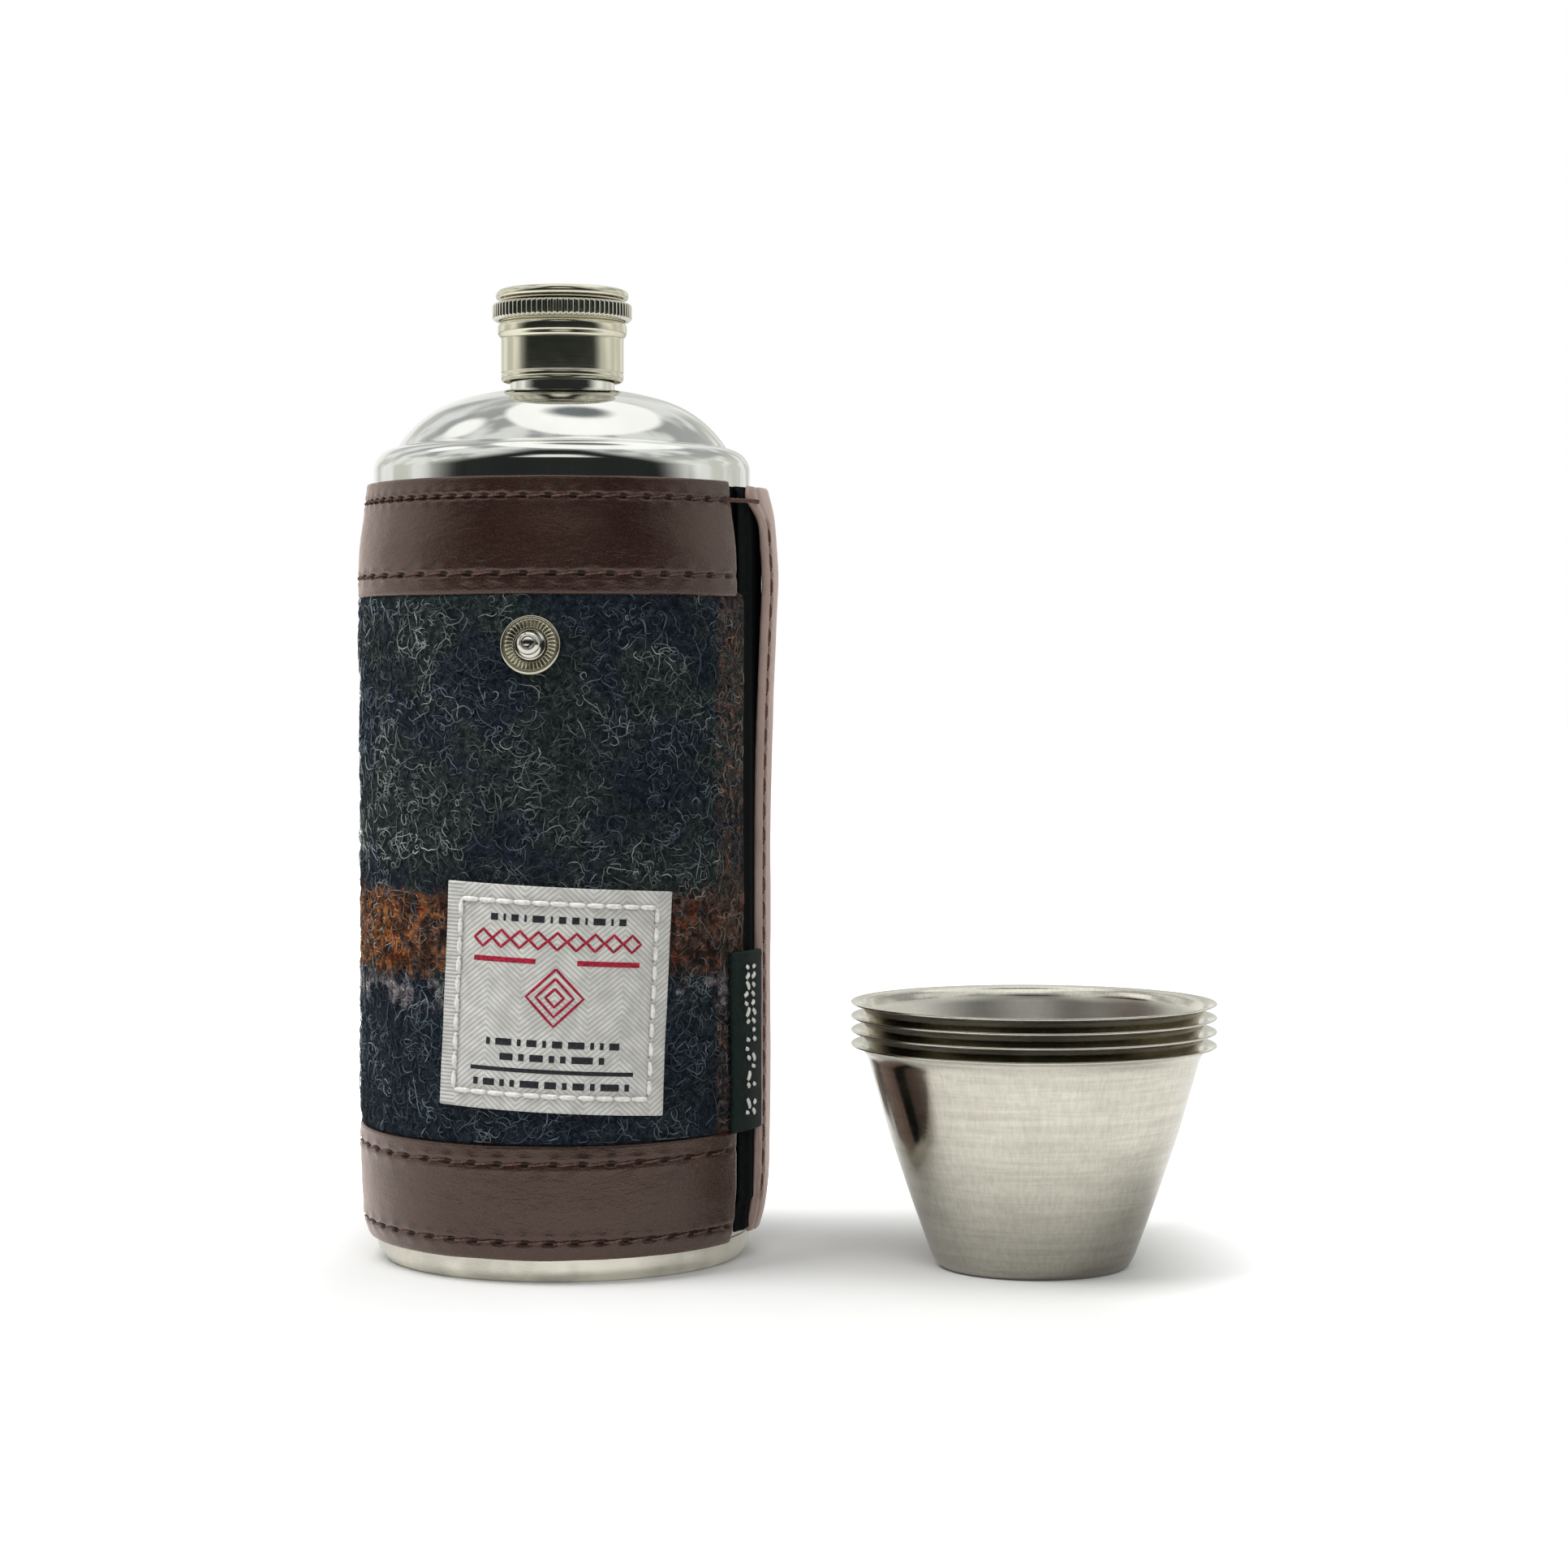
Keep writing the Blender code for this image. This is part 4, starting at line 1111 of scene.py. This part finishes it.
def add_strokes(name, lines, width, look, height=0.12):
    """Woven marks that stand a little out of the label: each line is a list of (across, up) points."""
    lines = np.array(lines, float)
    corners = lines.shape[1]
    steps = 16 if corners == 2 else 4 * (corners - 1) + 1
    at = np.linspace(0, corners - 1, steps)
    paths = np.stack(
        [[np.interp(at, np.arange(corners), line[:, k]) for k in (0, 1)] for line in lines]
    ).transpose(0, 2, 1)
    tangent = unit(np.gradient(paths, axis=1))
    side = np.stack([-tangent[..., 1], tangent[..., 0]], -1)
    rim = [(-1.0, -0.6), (-0.85, 0.5), (-0.4, 0.9), (0.4, 0.9), (0.85, 0.5), (1.0, -0.6)]
    points = []
    for out, tall in rim:
        place = paths + side * out * width / 2
        rise = label_lift(place[..., 0], place[..., 1]) + height * tall
        points.append(on_label(place[..., 0], place[..., 1], rise))
    points = np.stack(points, 2)
    add_piece(name, points, thread_faces(*points.shape[:3]), look, "flask")


def dashes(left, right, up, shares, gap=0.55):
    """A row of upright bars of different widths, which stand for a line of small marks."""
    total = right - left - gap * (len(shares) - 1)
    unit_width = total / sum(shares)
    lines, x = [], left
    for share in shares:
        width = unit_width * share
        lines.append([(x + 0.2, up), (x + width - 0.2, up)])
        x += width + gap
    return lines


def build_label():
    """The white woven label, its sewn border and a plain pattern of bars, a chain and lozenges."""
    width, height = LABEL_SIZE

    def surface(u, v):
        return on_label(u, v, label_lift(u, v))

    border = 2.7

    def relief(u, v):
        inside = np.minimum(width / 2 - np.abs(u), height / 2 - np.abs(v)) - border
        return -0.26 * np.exp(-((inside / 0.7) ** 2))

    us = np.linspace(-width / 2 + 0.2, width / 2 - 0.2, 150)
    vs = np.linspace(-height / 2 + 0.2, height / 2 - 0.2, 144)
    label = thick_sheet(
        "label_tape", us, vs, surface, 0.42, LOOKS["label"], ["woven_label"], relief
    )

    middles, along = [], []
    for sign in (-1, 1):
        for x in spread(-width / 2 + border, width / 2 - border, 3.1):
            middles.append((x, sign * (height / 2 - border)))
            along.append((1.0, 0.0))
        for y in spread(-height / 2 + border, height / 2 - border, 3.1):
            middles.append((sign * (width / 2 - border), y))
            along.append((0.0, 1.0))
    middles, along = np.array(middles), np.array(along)
    lift = label_lift(middles[:, 0], middles[:, 1])
    points = on_label(middles[:, 0], middles[:, 1], lift + 0.02)
    ahead = on_label(middles[:, 0] + along[:, 0], middles[:, 1] + along[:, 1], lift + 0.02) - points
    out = around(1.0, LABEL_AZIMUTH + np.degrees(middles[:, 0] / LABEL_R), 0.0)
    add_stitches(
        "label_stitches", points, ahead, out, 2.6, 0.42, LOOKS["white_thread"], 0.14, 0.3
    )

    black = dashes(-11.4, 11.4, 13.1, [2, 1, 2, 1, 3, 1, 2, 2, 1, 3, 1, 2])
    black += dashes(-11.2, 11.2, -7.2, [1, 3, 1, 2, 1, 2, 3, 1, 1, 2])
    black += dashes(-8.8, 8.8, -9.6, [2, 1, 2, 1, 1, 3, 1])
    black += dashes(-13.2, 13.2, -13.9, [1, 2, 1, 1, 3, 2, 1, 2, 1, 3, 1])
    add_strokes("label_black_marks", black, 1.25, LOOKS["black_thread"])
    line = [[(-13.6, -11.7), (13.6, -11.7)]]
    add_strokes("label_black_line", line, 0.75, LOOKS["black_thread"])
    chain = []
    for k in range(9):
        x = -12.4 + k * 3.1
        chain.append([(x - 1.5, 9.6), (x, 11.0), (x + 1.5, 9.6), (x, 8.2), (x - 1.5, 9.6)])
    add_strokes("label_red_chain", chain, 0.5, LOOKS["red_thread"])
    bars = [[(-13.8, 6.2), (-3.4, 6.2)], [(3.4, 6.2), (13.8, 6.2)]]
    add_strokes("label_red_bars", bars, 0.95, LOOKS["red_thread"])
    lozenges = [
        [(0, 0.4 + size), (size, 0.4), (0, 0.4 - size), (-size, 0.4), (0, 0.4 + size)]
        for size in (1.5, 3.1, 4.7)
    ]
    add_strokes("label_red_lozenges", lozenges, 0.5, LOOKS["red_thread"])


TAG_FROM, TAG_TO, TAG_BOTTOM, TAG_TOP, TAG_R = 60.2, 78.4, 23.2, 53.6, 36.0


def build_tag():
    """The dark folded tag with two columns of small woven blobs."""
    scale = radians(1.0) * TAG_R
    width, height = (TAG_TO - TAG_FROM) * scale, TAG_TOP - TAG_BOTTOM

    def surface(u, v):
        gap = 0.18 * np.sin(v / height * pi * 1.6 + 0.4) * np.clip(1 - u / width, 0, 1)
        return around(TAG_R - 0.15 + gap, TAG_FROM + u / scale, TAG_BOTTOM + v)

    us = np.linspace(0.35, width - 0.35, 40)
    vs = np.linspace(0.35, height - 0.35, 100)

    def relief(u, v):
        piping = 0.10 * np.exp(-(((height - 0.9 - v) / 0.35) ** 2))
        return 0.05 * value_noise(u / 3.0, v / 3.0, SEED + 8) + piping

    tag = thick_sheet(
        "side_tag_cloth", us, vs, surface, 0.66, LOOKS["tag"], ["side_tag"], relief
    )
    rng = np.random.default_rng(SEED + 9)
    lines = []
    for column in (0.42, 0.62):
        for v in spread(2.4, height - 2.0, 1.55):
            if rng.random() < 0.2:
                continue
            lean = rng.uniform(-1.2, 1.2)
            u = column * width + rng.uniform(-0.35, 0.35)
            half = rng.uniform(0.3, 0.75)
            lines.append([(u - half * 0.6, v - half * lean), (u + half * 0.6, v + half * lean)])
    lines = np.array(lines)
    t = np.linspace(0, 1, 5)[None, :, None]
    flat = lines[:, :1] * (1 - t) + lines[:, 1:] * t
    points = surface(flat[..., 0], flat[..., 1])
    out = unit(points * [1.0, 1.0, 0.0])
    paths = points + out * (0.12 - 0.2 * (2 * t - 1) ** 2)
    tubes("side_tag_marks", paths, 0.34, 8, LOOKS["white_thread"], "flask")


# ------------------------------------------------------------------ press stud

STUD_Z, STUD_TILT, STUD_FLANGE_R = 104.7, 8.0, 4.95


def tilted(points, angle, middle):
    """Points turned round X by an angle in degrees and moved to a middle in the plane of y and z."""
    turn = radians(angle)
    x, y, z = points[..., 0], points[..., 1], points[..., 2]
    moved = np.stack([x, y * cos(turn) - z * sin(turn), y * sin(turn) + z * cos(turn)], -1)
    return moved + [0.0, *middle]


def on_stud(points):
    """Points given along the stud's axis, moved to where the stud leaves the tweed."""
    return tilted(points, 90.0 - STUD_TILT, (-TWEED_R, STUD_Z))


def build_stud():
    """The ridged flange with its rolled rim, and the ball post."""
    rim = STUD_FLANGE_R
    ridges = 36
    flange = rounded(
        [(rim - 0.75, 0.75), (rim - 0.45, 1.1), (rim, 0.85), (rim, 0.25), (rim - 0.5, -0.1), (1.5, -0.1),
         (1.5, 0.62), (2.7, 0.62), (2.9, 0.85), (rim - 1.0, 0.7)],
        0.25, 5, closed=True,
    )

    def rosette(points):
        """Radial ridges on the flange's face, between the ball's foot and the rolled rim."""
        radius = np.hypot(points[..., 0], points[..., 1])
        azimuth = np.arctan2(points[..., 1], points[..., 0])
        face = np.clip((radius - 2.7) / 0.3, 0, 1) * np.clip((rim - 0.7 - radius) / 0.25, 0, 1)
        face = face * (points[..., 2] > 0.4)
        wave = 0.16 * np.cos(azimuth * ridges) * face
        points = points.copy()
        points[..., 2] += wave
        return on_stud(points)

    fine = []
    for a, b in zip(flange, np.roll(flange, -1, 0)):
        steps = max(1, int(np.linalg.norm(b - a) / 0.25))
        fine += [a + (b - a) * k / steps for k in range(steps)]
    turned(
        "stud_rosette", fine, ridges * 6, LOOKS["stud"], "flask", ["stud_flange"],
        closed=True, place=rosette,
    )
    recess = [(0.0, 2.8), (0.85, 2.8), (1.0, 2.92), (1.1, 3.2)]
    side = rounded(
        [recess[-1], (1.28, 3.36), (1.85, 2.9), (2.0, 2.45), (1.72, 2.0), (1.55, 1.5), (2.0, 1.15),
         (2.55, 1.05), (2.6, 0.75), (1.2, 0.7)],
        0.3, 5,
    )
    ball = np.vstack([recess, side[1:], [(1.2, -0.9), (0.0, -0.9)]])
    turned("stud_ball", ball, 64, LOOKS["ball"], "flask", ["stud_post"], place=on_stud)


# ----------------------------------------------------------------------- strap

STRAP_WIDTH, STRAP_SHEET = 19.0, 1.8
SOCKET_REACH, TAB_SLOPE = 26.0, 5.2  # millimetres past the last joint, degrees
SEWN_R = 35.75
SEWN_SHEET, SKIVED_TO, FULL_FROM = 1.0, 18.0, 34.0  # the sewn end's thickness, and places along the strap
WRAPPED_TO, WRAP_OVER = 26.0, 8.0
STRAP_JOINTS = [
    ("strap_fold", 0.0, 4.0), ("strap_crown_bend", 7.0, 7.0), ("strap_front_bend", 7.0, 7.0),
    ("strap_floor_bend", 3.4, 3.4), ("snap_press", 3.2, 3.2), ("strap_tab_bend", 4.2, 4.2),
]


def joint_at(name):
    """A joint's place in the strap's plane, as (y, z)."""
    joint = next(j for j in frame["joints"] if j["name"] == name)
    return np.array(joint["pos_m"][1:]) / MM


def strap_line():
    """The strap's middle line from its sewn end to the tab's tip, with the joints' places along it."""
    bends = [joint_at(name) for name, _, _ in STRAP_JOINTS]
    last = bends[-1]
    tab_length = node_box("strap_tab")[1][1] - 0.9 - last[0]
    end = last + np.array([tab_length, tab_length * 0.0910])
    loop_far = bends[0][0] + 0.1
    sewn = [(SEWN_R, 108.6), (SEWN_R, 131.2)]
    loop = arc(((SEWN_R + loop_far) / 2, 132.2), (loop_far - SEWN_R) / 2, 180, 0, 9)
    points = [np.array(p) for p in sewn] + list(loop)
    for before, bend, after, trim in zip(bends, bends[1:], bends[2:] + [end], STRAP_JOINTS[1:]):
        to_before, to_after = unit(before - bend), unit(after - bend)
        points.extend(round_corner(bend + to_before * trim[1], bend, bend + to_after * trim[2], 9))
    points.append(end)
    points = np.array(points)
    reach = np.concatenate([[0], np.cumsum(np.linalg.norm(np.diff(points, axis=0), axis=1))])
    along = np.arange(0, reach[-1], 0.5)
    line = np.stack([np.interp(along, reach, points[:, k]) for k in (0, 1)], -1)
    kernel = np.ones(5) / 5
    for k in (0, 1):
        wide = np.concatenate([line[:1, k].repeat(2), line[:, k], line[-1:, k].repeat(2)])
        line[:, k] = np.convolve(wide, kernel, "valid")
    marks = [int(np.argmin(np.linalg.norm(line - bend, axis=1))) for bend in bends]
    return along, line, marks, bends


def build_strap():
    """The leather strap in sections that each bend across one joint, with its stitches."""
    along, line, marks, bends = strap_line()
    tangent = unit(np.gradient(line, axis=0))
    normal = np.stack([tangent[:, 1], -tangent[:, 0]], -1)  # away from the flask as the strap hangs
    total = along[-1]
    bodies = ["flask", "strap_back", "strap_crown", "strap_front", "strap_bend", "strap_drop", "strap_tab"]
    nodes = [["strap_anchor", "strap_back"]] + [[body] for body in bodies[2:]]
    cuts = [0] + [(a + b) // 2 for a, b in zip(marks, marks[1:])] + [len(along) - 1]
    half = STRAP_WIDTH / 2
    places = spread(4.0, total - 4.0, 4.2)

    def at(s, k, table):
        return np.interp(s, along, table[:, k])

    def sheet_at(s):
        """The strap's thickness, skived where it is sewn down."""
        return np.interp(s, [SKIVED_TO, FULL_FROM], [SEWN_SHEET, STRAP_SHEET])

    def half_width(s):
        """Half the width at each place, round at the tab's end and at the sewn end's corners."""
        tip = np.clip((s - (total - half)) / half, 0, 0.985)
        foot = np.clip(1 - s / 3.0, 0, 0.97)
        return (half * np.sqrt(1 - tip**2)) - 3.0 * (1 - np.sqrt(1 - foot**2))

    def surface(u, s, face=0.5):
        """The strap's outer face, wrapped round the sleeve where it is sewn down."""
        across = u / half * half_width(s)
        wrap = eased(np.clip((WRAPPED_TO - s) / WRAP_OVER, 0, 1))
        sag = (SEWN_R - np.sqrt(np.maximum(SEWN_R**2 - across**2, 1.0))) * wrap
        y = at(s, 0, line) + at(s, 0, normal) * sheet_at(s) * face - sag
        z = at(s, 1, line) + at(s, 1, normal) * sheet_at(s) * face
        return np.stack([across, y, z], -1)

    def edge_row(u, s):
        return half_width(s) * (1 - np.abs(u) / half) - ROW_INSET

    def hole(u, s):
        return hole_depth(s, edge_row(u, s), places)

    def relief(u, s):
        soft = 0.05 * value_noise(u / 5.0, s / 5.0, SEED + 10)
        return soft + 0.8 * pucker(s, edge_row(u, s), places) - HOLE_DEPTH * hole(u, s)

    def thread_row(middles, side, face):
        """The threads' paths along one edge of one of the strap's faces."""
        u = side * (half - ROW_INSET * half / half_width(middles))
        points = surface(u, middles, face)
        ahead = unit(surface(u, middles + 0.5, face) - points)
        out = np.stack([0 * middles, at(middles, 0, normal), at(middles, 1, normal)], -1) * np.sign(face)
        return stitch_paths(points, ahead, out, places[1] - places[0] - 0.9, 0.06, 0.4)

    fine = dense(0.0, half, 1.1, 0.24, [half - ROW_INSET])
    us = np.concatenate([-fine[:0:-1], fine])
    for i, (start, end) in enumerate(zip(cuts, cuts[1:])):
        low, high = along[start], along[end]
        ss = np.linspace(low, high, max(8, int((high - low) / 0.42)))
        name = f"strap_leather_{i + 1}"
        pieces = [strap_section(name, us, ss, surface, relief, hole, nodes[i])]
        mine = places[(places > low) & (places < high)]
        middles = (mine[1:] + mine[:-1]) / 2
        if len(middles):
            paths = np.concatenate([
                thread_row(middles, side, face) for side in (-1, 1) for face in (0.5, -0.5)
            ])
            threads = tubes(f"{name}_thread", paths, THREAD_THICK, 8, LOOKS["thread"], None)
            pieces.append(threads)
        bend, direction = bends[i], tangent[marks[i]]
        _, reach_before, reach_after = STRAP_JOINTS[i]
        if i == 0:
            first, second = (0.0, 35.9, bend[1]), (0.0, 38.4, bend[1])
        else:
            first = (0.0, *(bend - direction * reach_before))
            second = (0.0, *(bend + direction * reach_after))
        for piece in pieces:
            tuple(c * MM for c in first)
            tuple(c * MM for c in second)
            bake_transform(piece)


def strap_section(name, us, ss, surface, relief, hole, replaces):
    """One section of the strap: a closed sheet with stitch holes on both faces and rounded long edges."""
    u, s = np.meshgrid(us, ss)
    outer, inner = surface(u, s, 0.5), surface(u, s, -0.5)
    normal = unit(outer - inner)
    rise = relief(u, s)[..., None]
    outer, inner = outer + rise * normal, inner - rise * normal
    rows = len(ss)
    middle = (outer + inner) / 2
    edges = []
    for side in (0, -1):
        other = 1 if side == 0 else -2
        out = unit(middle[:, side] - middle[:, other])
        thick = np.linalg.norm(outer[:, side] - inner[:, side], axis=1, keepdims=True) / 2
        ring = [
            middle[:, side] + normal[:, side] * thick * cos(a) + out * thick * 0.6 * sin(a)
            for a in np.linspace(0, pi, 6)[1:-1]
        ]
        edges.append(np.stack(ring, 1))
    loop = np.concatenate([outer, edges[1], inner[:, ::-1], edges[0][:, ::-1]], axis=1)
    width = loop.shape[1]
    faces = grid_faces(rows, width, round_columns=True)
    faces.append(list(range(width)))
    faces.append([(rows - 1) * width + k for k in range(width)][::-1])
    depth = hole(u, s)
    none = np.zeros((rows, edges[0].shape[1]))
    holes = np.concatenate([depth, none, depth[:, ::-1], none], axis=1)
    return add_piece(
        name, loop, faces, LOOKS["leather"], None, replaces, values={"hole": holes.ravel()}
    )


WIRE_R, SPRING_R, SPRING_GAP = 0.2, 2.72, 14.0  # the gap is half of it, in degrees


def build_snap():
    """The press socket on the tab, its spring and its domed cap."""
    heading = radians(TAB_SLOPE)
    centre = joint_at("strap_tab_bend") + SOCKET_REACH * np.array([cos(heading), sin(heading)])

    def on_tab(points):
        return tilted(points, TAB_SLOPE, centre)

    face = STRAP_SHEET / 2
    rim = face + 2.6
    socket = rounded(
        [(0.0, face + 0.6), (2.35, face + 0.6), (2.35, rim - 1.5), (3.3, rim - 1.5), (3.3, rim - 0.6),
         (2.35, rim - 0.6), (2.35, rim - 0.15), (2.7, rim), (3.6, rim), (4.1, rim - 0.5), (4.1, face + 0.9),
         (4.6, face + 0.6), (4.65, face + 0.1), (4.2, face - 0.1), (0.0, face - 0.1)],
        0.3, 4,
    )
    turned(
        "socket_shell", socket, 64, LOOKS["stud"], "strap_tab", ["snap_socket"],
        place=on_tab,
    )
    cap = rounded(
        [(0.0, -face - 2.5), (3.4, -face - 2.25), (5.3, -face - 1.3), (5.95, -face - 0.5), (5.8, -face),
         (5.2, -face + 0.1), (0.0, -face + 0.1)],
        0.7, 7,
    )
    turned("snap_button", cap, 96, LOOKS["ball"], "strap_tab", ["snap_cap"], place=on_tab)
    path = around(SPRING_R, np.linspace(SPRING_GAP, 360 - SPRING_GAP, 60), rim - 1.05)
    spring = tubes("split_spring", on_tab(path)[None], WIRE_R, 10, LOOKS["wall"], "strap_tab")
    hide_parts("snap_spring")


# ------------------------------------------------------------------------ cups

CUP_SHEET = 0.35


def cup_outline():
    """The cup's section: flat base, flared wall and a rim that turns out to a rolled edge."""
    wall = rounded(
        [(0.0, 0.35), (13.0, 0.35), (14.0, 0.0), (15.9, 0.0), (17.05, 1.7), (20.9, 12.2), (24.4, 22.6),
         (28.1, 35.7), (29.3, 37.15), (30.75, 37.45)],
        1.4, 8,
    )
    tangent = unit(np.gradient(wall, axis=0))
    inward = np.stack([-tangent[:, 1], tangent[:, 0]], -1)
    inner = wall + inward * CUP_SHEET
    inner[0, 0] = 0.0
    tip = (wall[-1] + inner[-1]) / 2
    out = tangent[-1]
    angles = np.radians([60, 20, -20, -60])
    roll = [tip + CUP_SHEET / 2 * (out * cos(a) - inward[-1] * sin(a)) for a in angles]
    return np.vstack([wall, roll, inner[::-1]])


def build_cups():
    """The four nested cups."""
    outline = cup_outline()
    for i in range(1, 5):
        cup = f"cup_{i}"

        def stand(points, foot=foot_of(cup)):
            return points + foot

        turned(
            f"cup_shell_{i}", outline, 128, LOOKS["cup"], cup, [cup], place=stand, sharp=60
        )


def dress_kept_nodes():
    """Materials for the CAD nodes that keep their own shape."""
    kept = {
        "bottle_wall": "wall", "cap_thread_insert": "neck", "cap_seal": "silicone", "stud_back_plate": "wall",
    }
    for name, look in kept.items():
        mesh = frame["nodes"][name].data
        mesh.materials.clear()
        mesh.materials.append(LOOKS[look])


# ---------------------------------------------------------------- camera, light


def set_camera():
    """The photograph's view."""
    data = bpy.data.cameras.new("camera")
    data.lens = CAMERA_LENS
    data.sensor_width = 36.0
    data.clip_start = 0.01
    camera = bpy.data.objects.new("camera", data)
    camera.location = [c * MM for c in CAMERA_PLACE]
    camera.rotation_euler = (radians(90.0 + CAMERA_PITCH), 0.0, radians(CAMERA_TURN))
    bpy.context.scene.collection.objects.link(camera)
    bpy.context.scene.camera = camera


# Each lamp's place, aim and size in metres, and its power in watts
LAMPS = {
    "front_lamp": ((0.35, -1.3, 0.9), (0.03, 0.0, 0.08), (1.0, 0.8), 7.6),
    "left_lamp": ((-0.55, -0.30, 1.1), (0.02, 0.0, 0.06), (0.7, 0.7), 10.5),
    "top_lamp": ((0.0, -0.1, 1.6), (0.03, 0.0, 0.0), (1.4, 1.4), 8.0),
}


def add_lamp(name, place, aim, size, power):
    """A soft lamp that is kept out of reflections."""
    data = bpy.data.lights.new(name, "AREA")
    data.shape = "RECTANGLE"
    data.size, data.size_y = size
    data.energy = power
    lamp = bpy.data.objects.new(name, data)
    lamp.location = place
    direction = Vector(aim) - Vector(place)
    lamp.rotation_euler = direction.to_track_quat("-Z", "Y").to_euler()
    lamp.visible_glossy = False
    bpy.context.scene.collection.objects.link(lamp)


PALE, LAMP_WHITE = (1.0, 1.0, 0.98), (1.3, 1.3, 1.28)


def set_world():
    """A white studio with a dark side where the photographer stands."""
    world = bpy.data.worlds.new("studio")
    bpy.context.scene.world = world
    world.use_nodes = True
    background = world.node_tree.nodes["Background"]
    sky = Nodes(world.node_tree)
    where = sky.node("TexCoord", {}).outputs["Generated"]
    x, y, z = (sky.axis(where, letter) for letter in "XYZ")
    clutter = sky.noise(where, 3.0)

    def near(direction, full, none):
        """How near the view is to a direction, from 1 inside one distance to 0 outside another."""
        return sky.between(sky.vectors("DISTANCE", where, direction, "Value"), full, none, 1.0, 0.0)

    # How far to the side of the photographer, and further off with height
    turn = sky.maths("ARCTAN2", x, sky.times(y, -1.0))
    off = sky.maths("ABSOLUTE", sky.minus(turn, radians(5.0)))
    off = sky.plus(off, sky.times(sky.maths("MAXIMUM", sky.minus(z, 0.08), 0.0), 1.1))

    ceiling = sky.mix(sky.between(clutter, 0.38, 0.6), (0.45, 0.46, 0.465), (0.92, 0.93, 0.92))
    walls = sky.mix(sky.between(clutter, 0.42, 0.6), (0.70, 0.71, 0.66), PALE)
    colour = sky.mix(sky.between(z, 0.25, 0.6), walls, ceiling)
    front = sky.between(off, radians(62.0), radians(98.0), 1.0, 0.0)
    low = sky.between(z, 0.84, 0.97, 1.0, 0.0)
    colour = sky.mix(sky.times(front, low), colour, (0.022, 0.026, 0.024))
    window = sky.times(
        sky.between(off, radians(38.0), radians(56.0), 1.0, 0.0), sky.between(z, 0.40, 0.46),
        sky.between(z, 0.58, 0.66, 1.0, 0.0),
    )
    colour = sky.mix(window, colour, PALE)

    # A round white lamp overhead with a dark middle, and a smaller lamp to its left
    across = sky.maths("DIVIDE", sky.minus(x, 0.08), 0.43)
    along = sky.maths("DIVIDE", sky.minus(y, 0.19), 0.52)
    span = sky.plus(sky.times(across, across), sky.times(along, along))
    softbox = sky.times(sky.between(span, 0.86, 1.08, 1.0, 0.0), sky.between(z, 0.1, 0.4))
    colour = sky.mix(softbox, colour, LAMP_WHITE)
    colour = sky.mix(near((-0.59, 0.23, 0.77), 0.11, 0.2), colour, LAMP_WHITE)
    colour = sky.mix(near((0.046, 0.28, 0.958), 0.10, 0.23), colour, (0.20, 0.22, 0.23))

    # Full strength in reflections, half of it as light, and plain white behind the object
    rays = sky.node("LightPath", {}).outputs
    sky.put(colour, background.inputs["Color"])
    sky.put(sky.plus(sky.times(rays["Is Glossy Ray"], 0.5), 0.5), background.inputs["Strength"])
    plain = sky.node("Background", {"Color": (1.0, 1.0, 1.0)})
    ways = {0: rays["Is Camera Ray"], 1: background.outputs[0], 2: plain.outputs[0]}
    choose = sky.node("MixShader", ways).outputs[0]
    sky.put(choose, world.node_tree.nodes["World Output"].inputs["Surface"])


def set_floor():
    """A plain white floor. It glows to the camera away from the object, as the photograph's does where its
    background was cut away, and a little in reflections away from the cups."""
    look = Look("studio_floor", roughness=0.9, Specular_IOR_Level=0.1)
    across, away = (look.times(look.axis(look.place(), letter), MM) for letter in "XY")
    far = look.between(look.maths("ABSOLUTE", look.plus(away, 0.02)), 0.035, 0.11)
    wide = look.between(look.maths("ABSOLUTE", look.minus(across, 0.03)), 0.058, 0.115)
    rays = look.node("LightPath", {}).outputs
    glow = look.times(look.maths("MAXIMUM", far, wide), 0.8)
    glow = look.times(rays["Is Camera Ray"], look.plus(glow, 0.055))
    from_cups = look.vectors("DISTANCE", look.join(across, away), (0.081, -0.006, 0.0), "Value")
    mirrored = look.between(from_cups, 0.028, 0.068, 0.0, 0.12)
    glow = look.plus(glow, look.times(rays["Is Glossy Ray"], mirrored))
    grain = look.noise(look.place(), 0.02, 2.0)
    shade = look.mix(look.between(grain, 0.3, 0.7), (0.78, 0.78, 0.77), (0.80, 0.80, 0.79))
    # painted shade: the floor far in front, which the camera never sees, is dark so that the steel reflects a
    # dark front there
    shade = look.mix(look.between(away, -0.75, -0.45), (0.05, 0.05, 0.048), shade)
    look.set(Base_Color=shade, Emission_Color=(1.0, 1.0, 1.0), Emission_Strength=glow)
    mesh = bpy.data.meshes.new("studio_floor")
    size = 6.0
    corners = [(-size, -size, 0), (size, -size, 0), (size, size, 0), (-size, size, 0)]
    mesh.from_pydata(corners, [], [(0, 1, 2, 3)])
    mesh.materials.append(look.material)
    floor = bpy.data.objects.new("studio_floor", mesh)
    bpy.context.scene.collection.objects.link(floor)


def set_studio():
    """Camera, lamps, world and floor."""
    set_camera()
    set_world()
    set_floor()
    for name, row in LAMPS.items():
        add_lamp(name, *row)
    bpy.context.scene.view_settings.view_transform = "Standard"


set_studio()
build_bottle()
build_cap()
build_lining()
build_tweed()
build_bands()
build_seam()
build_bridge()
build_label()
build_tag()
build_stud()
build_strap()
build_snap()
build_cups()
dress_kept_nodes()
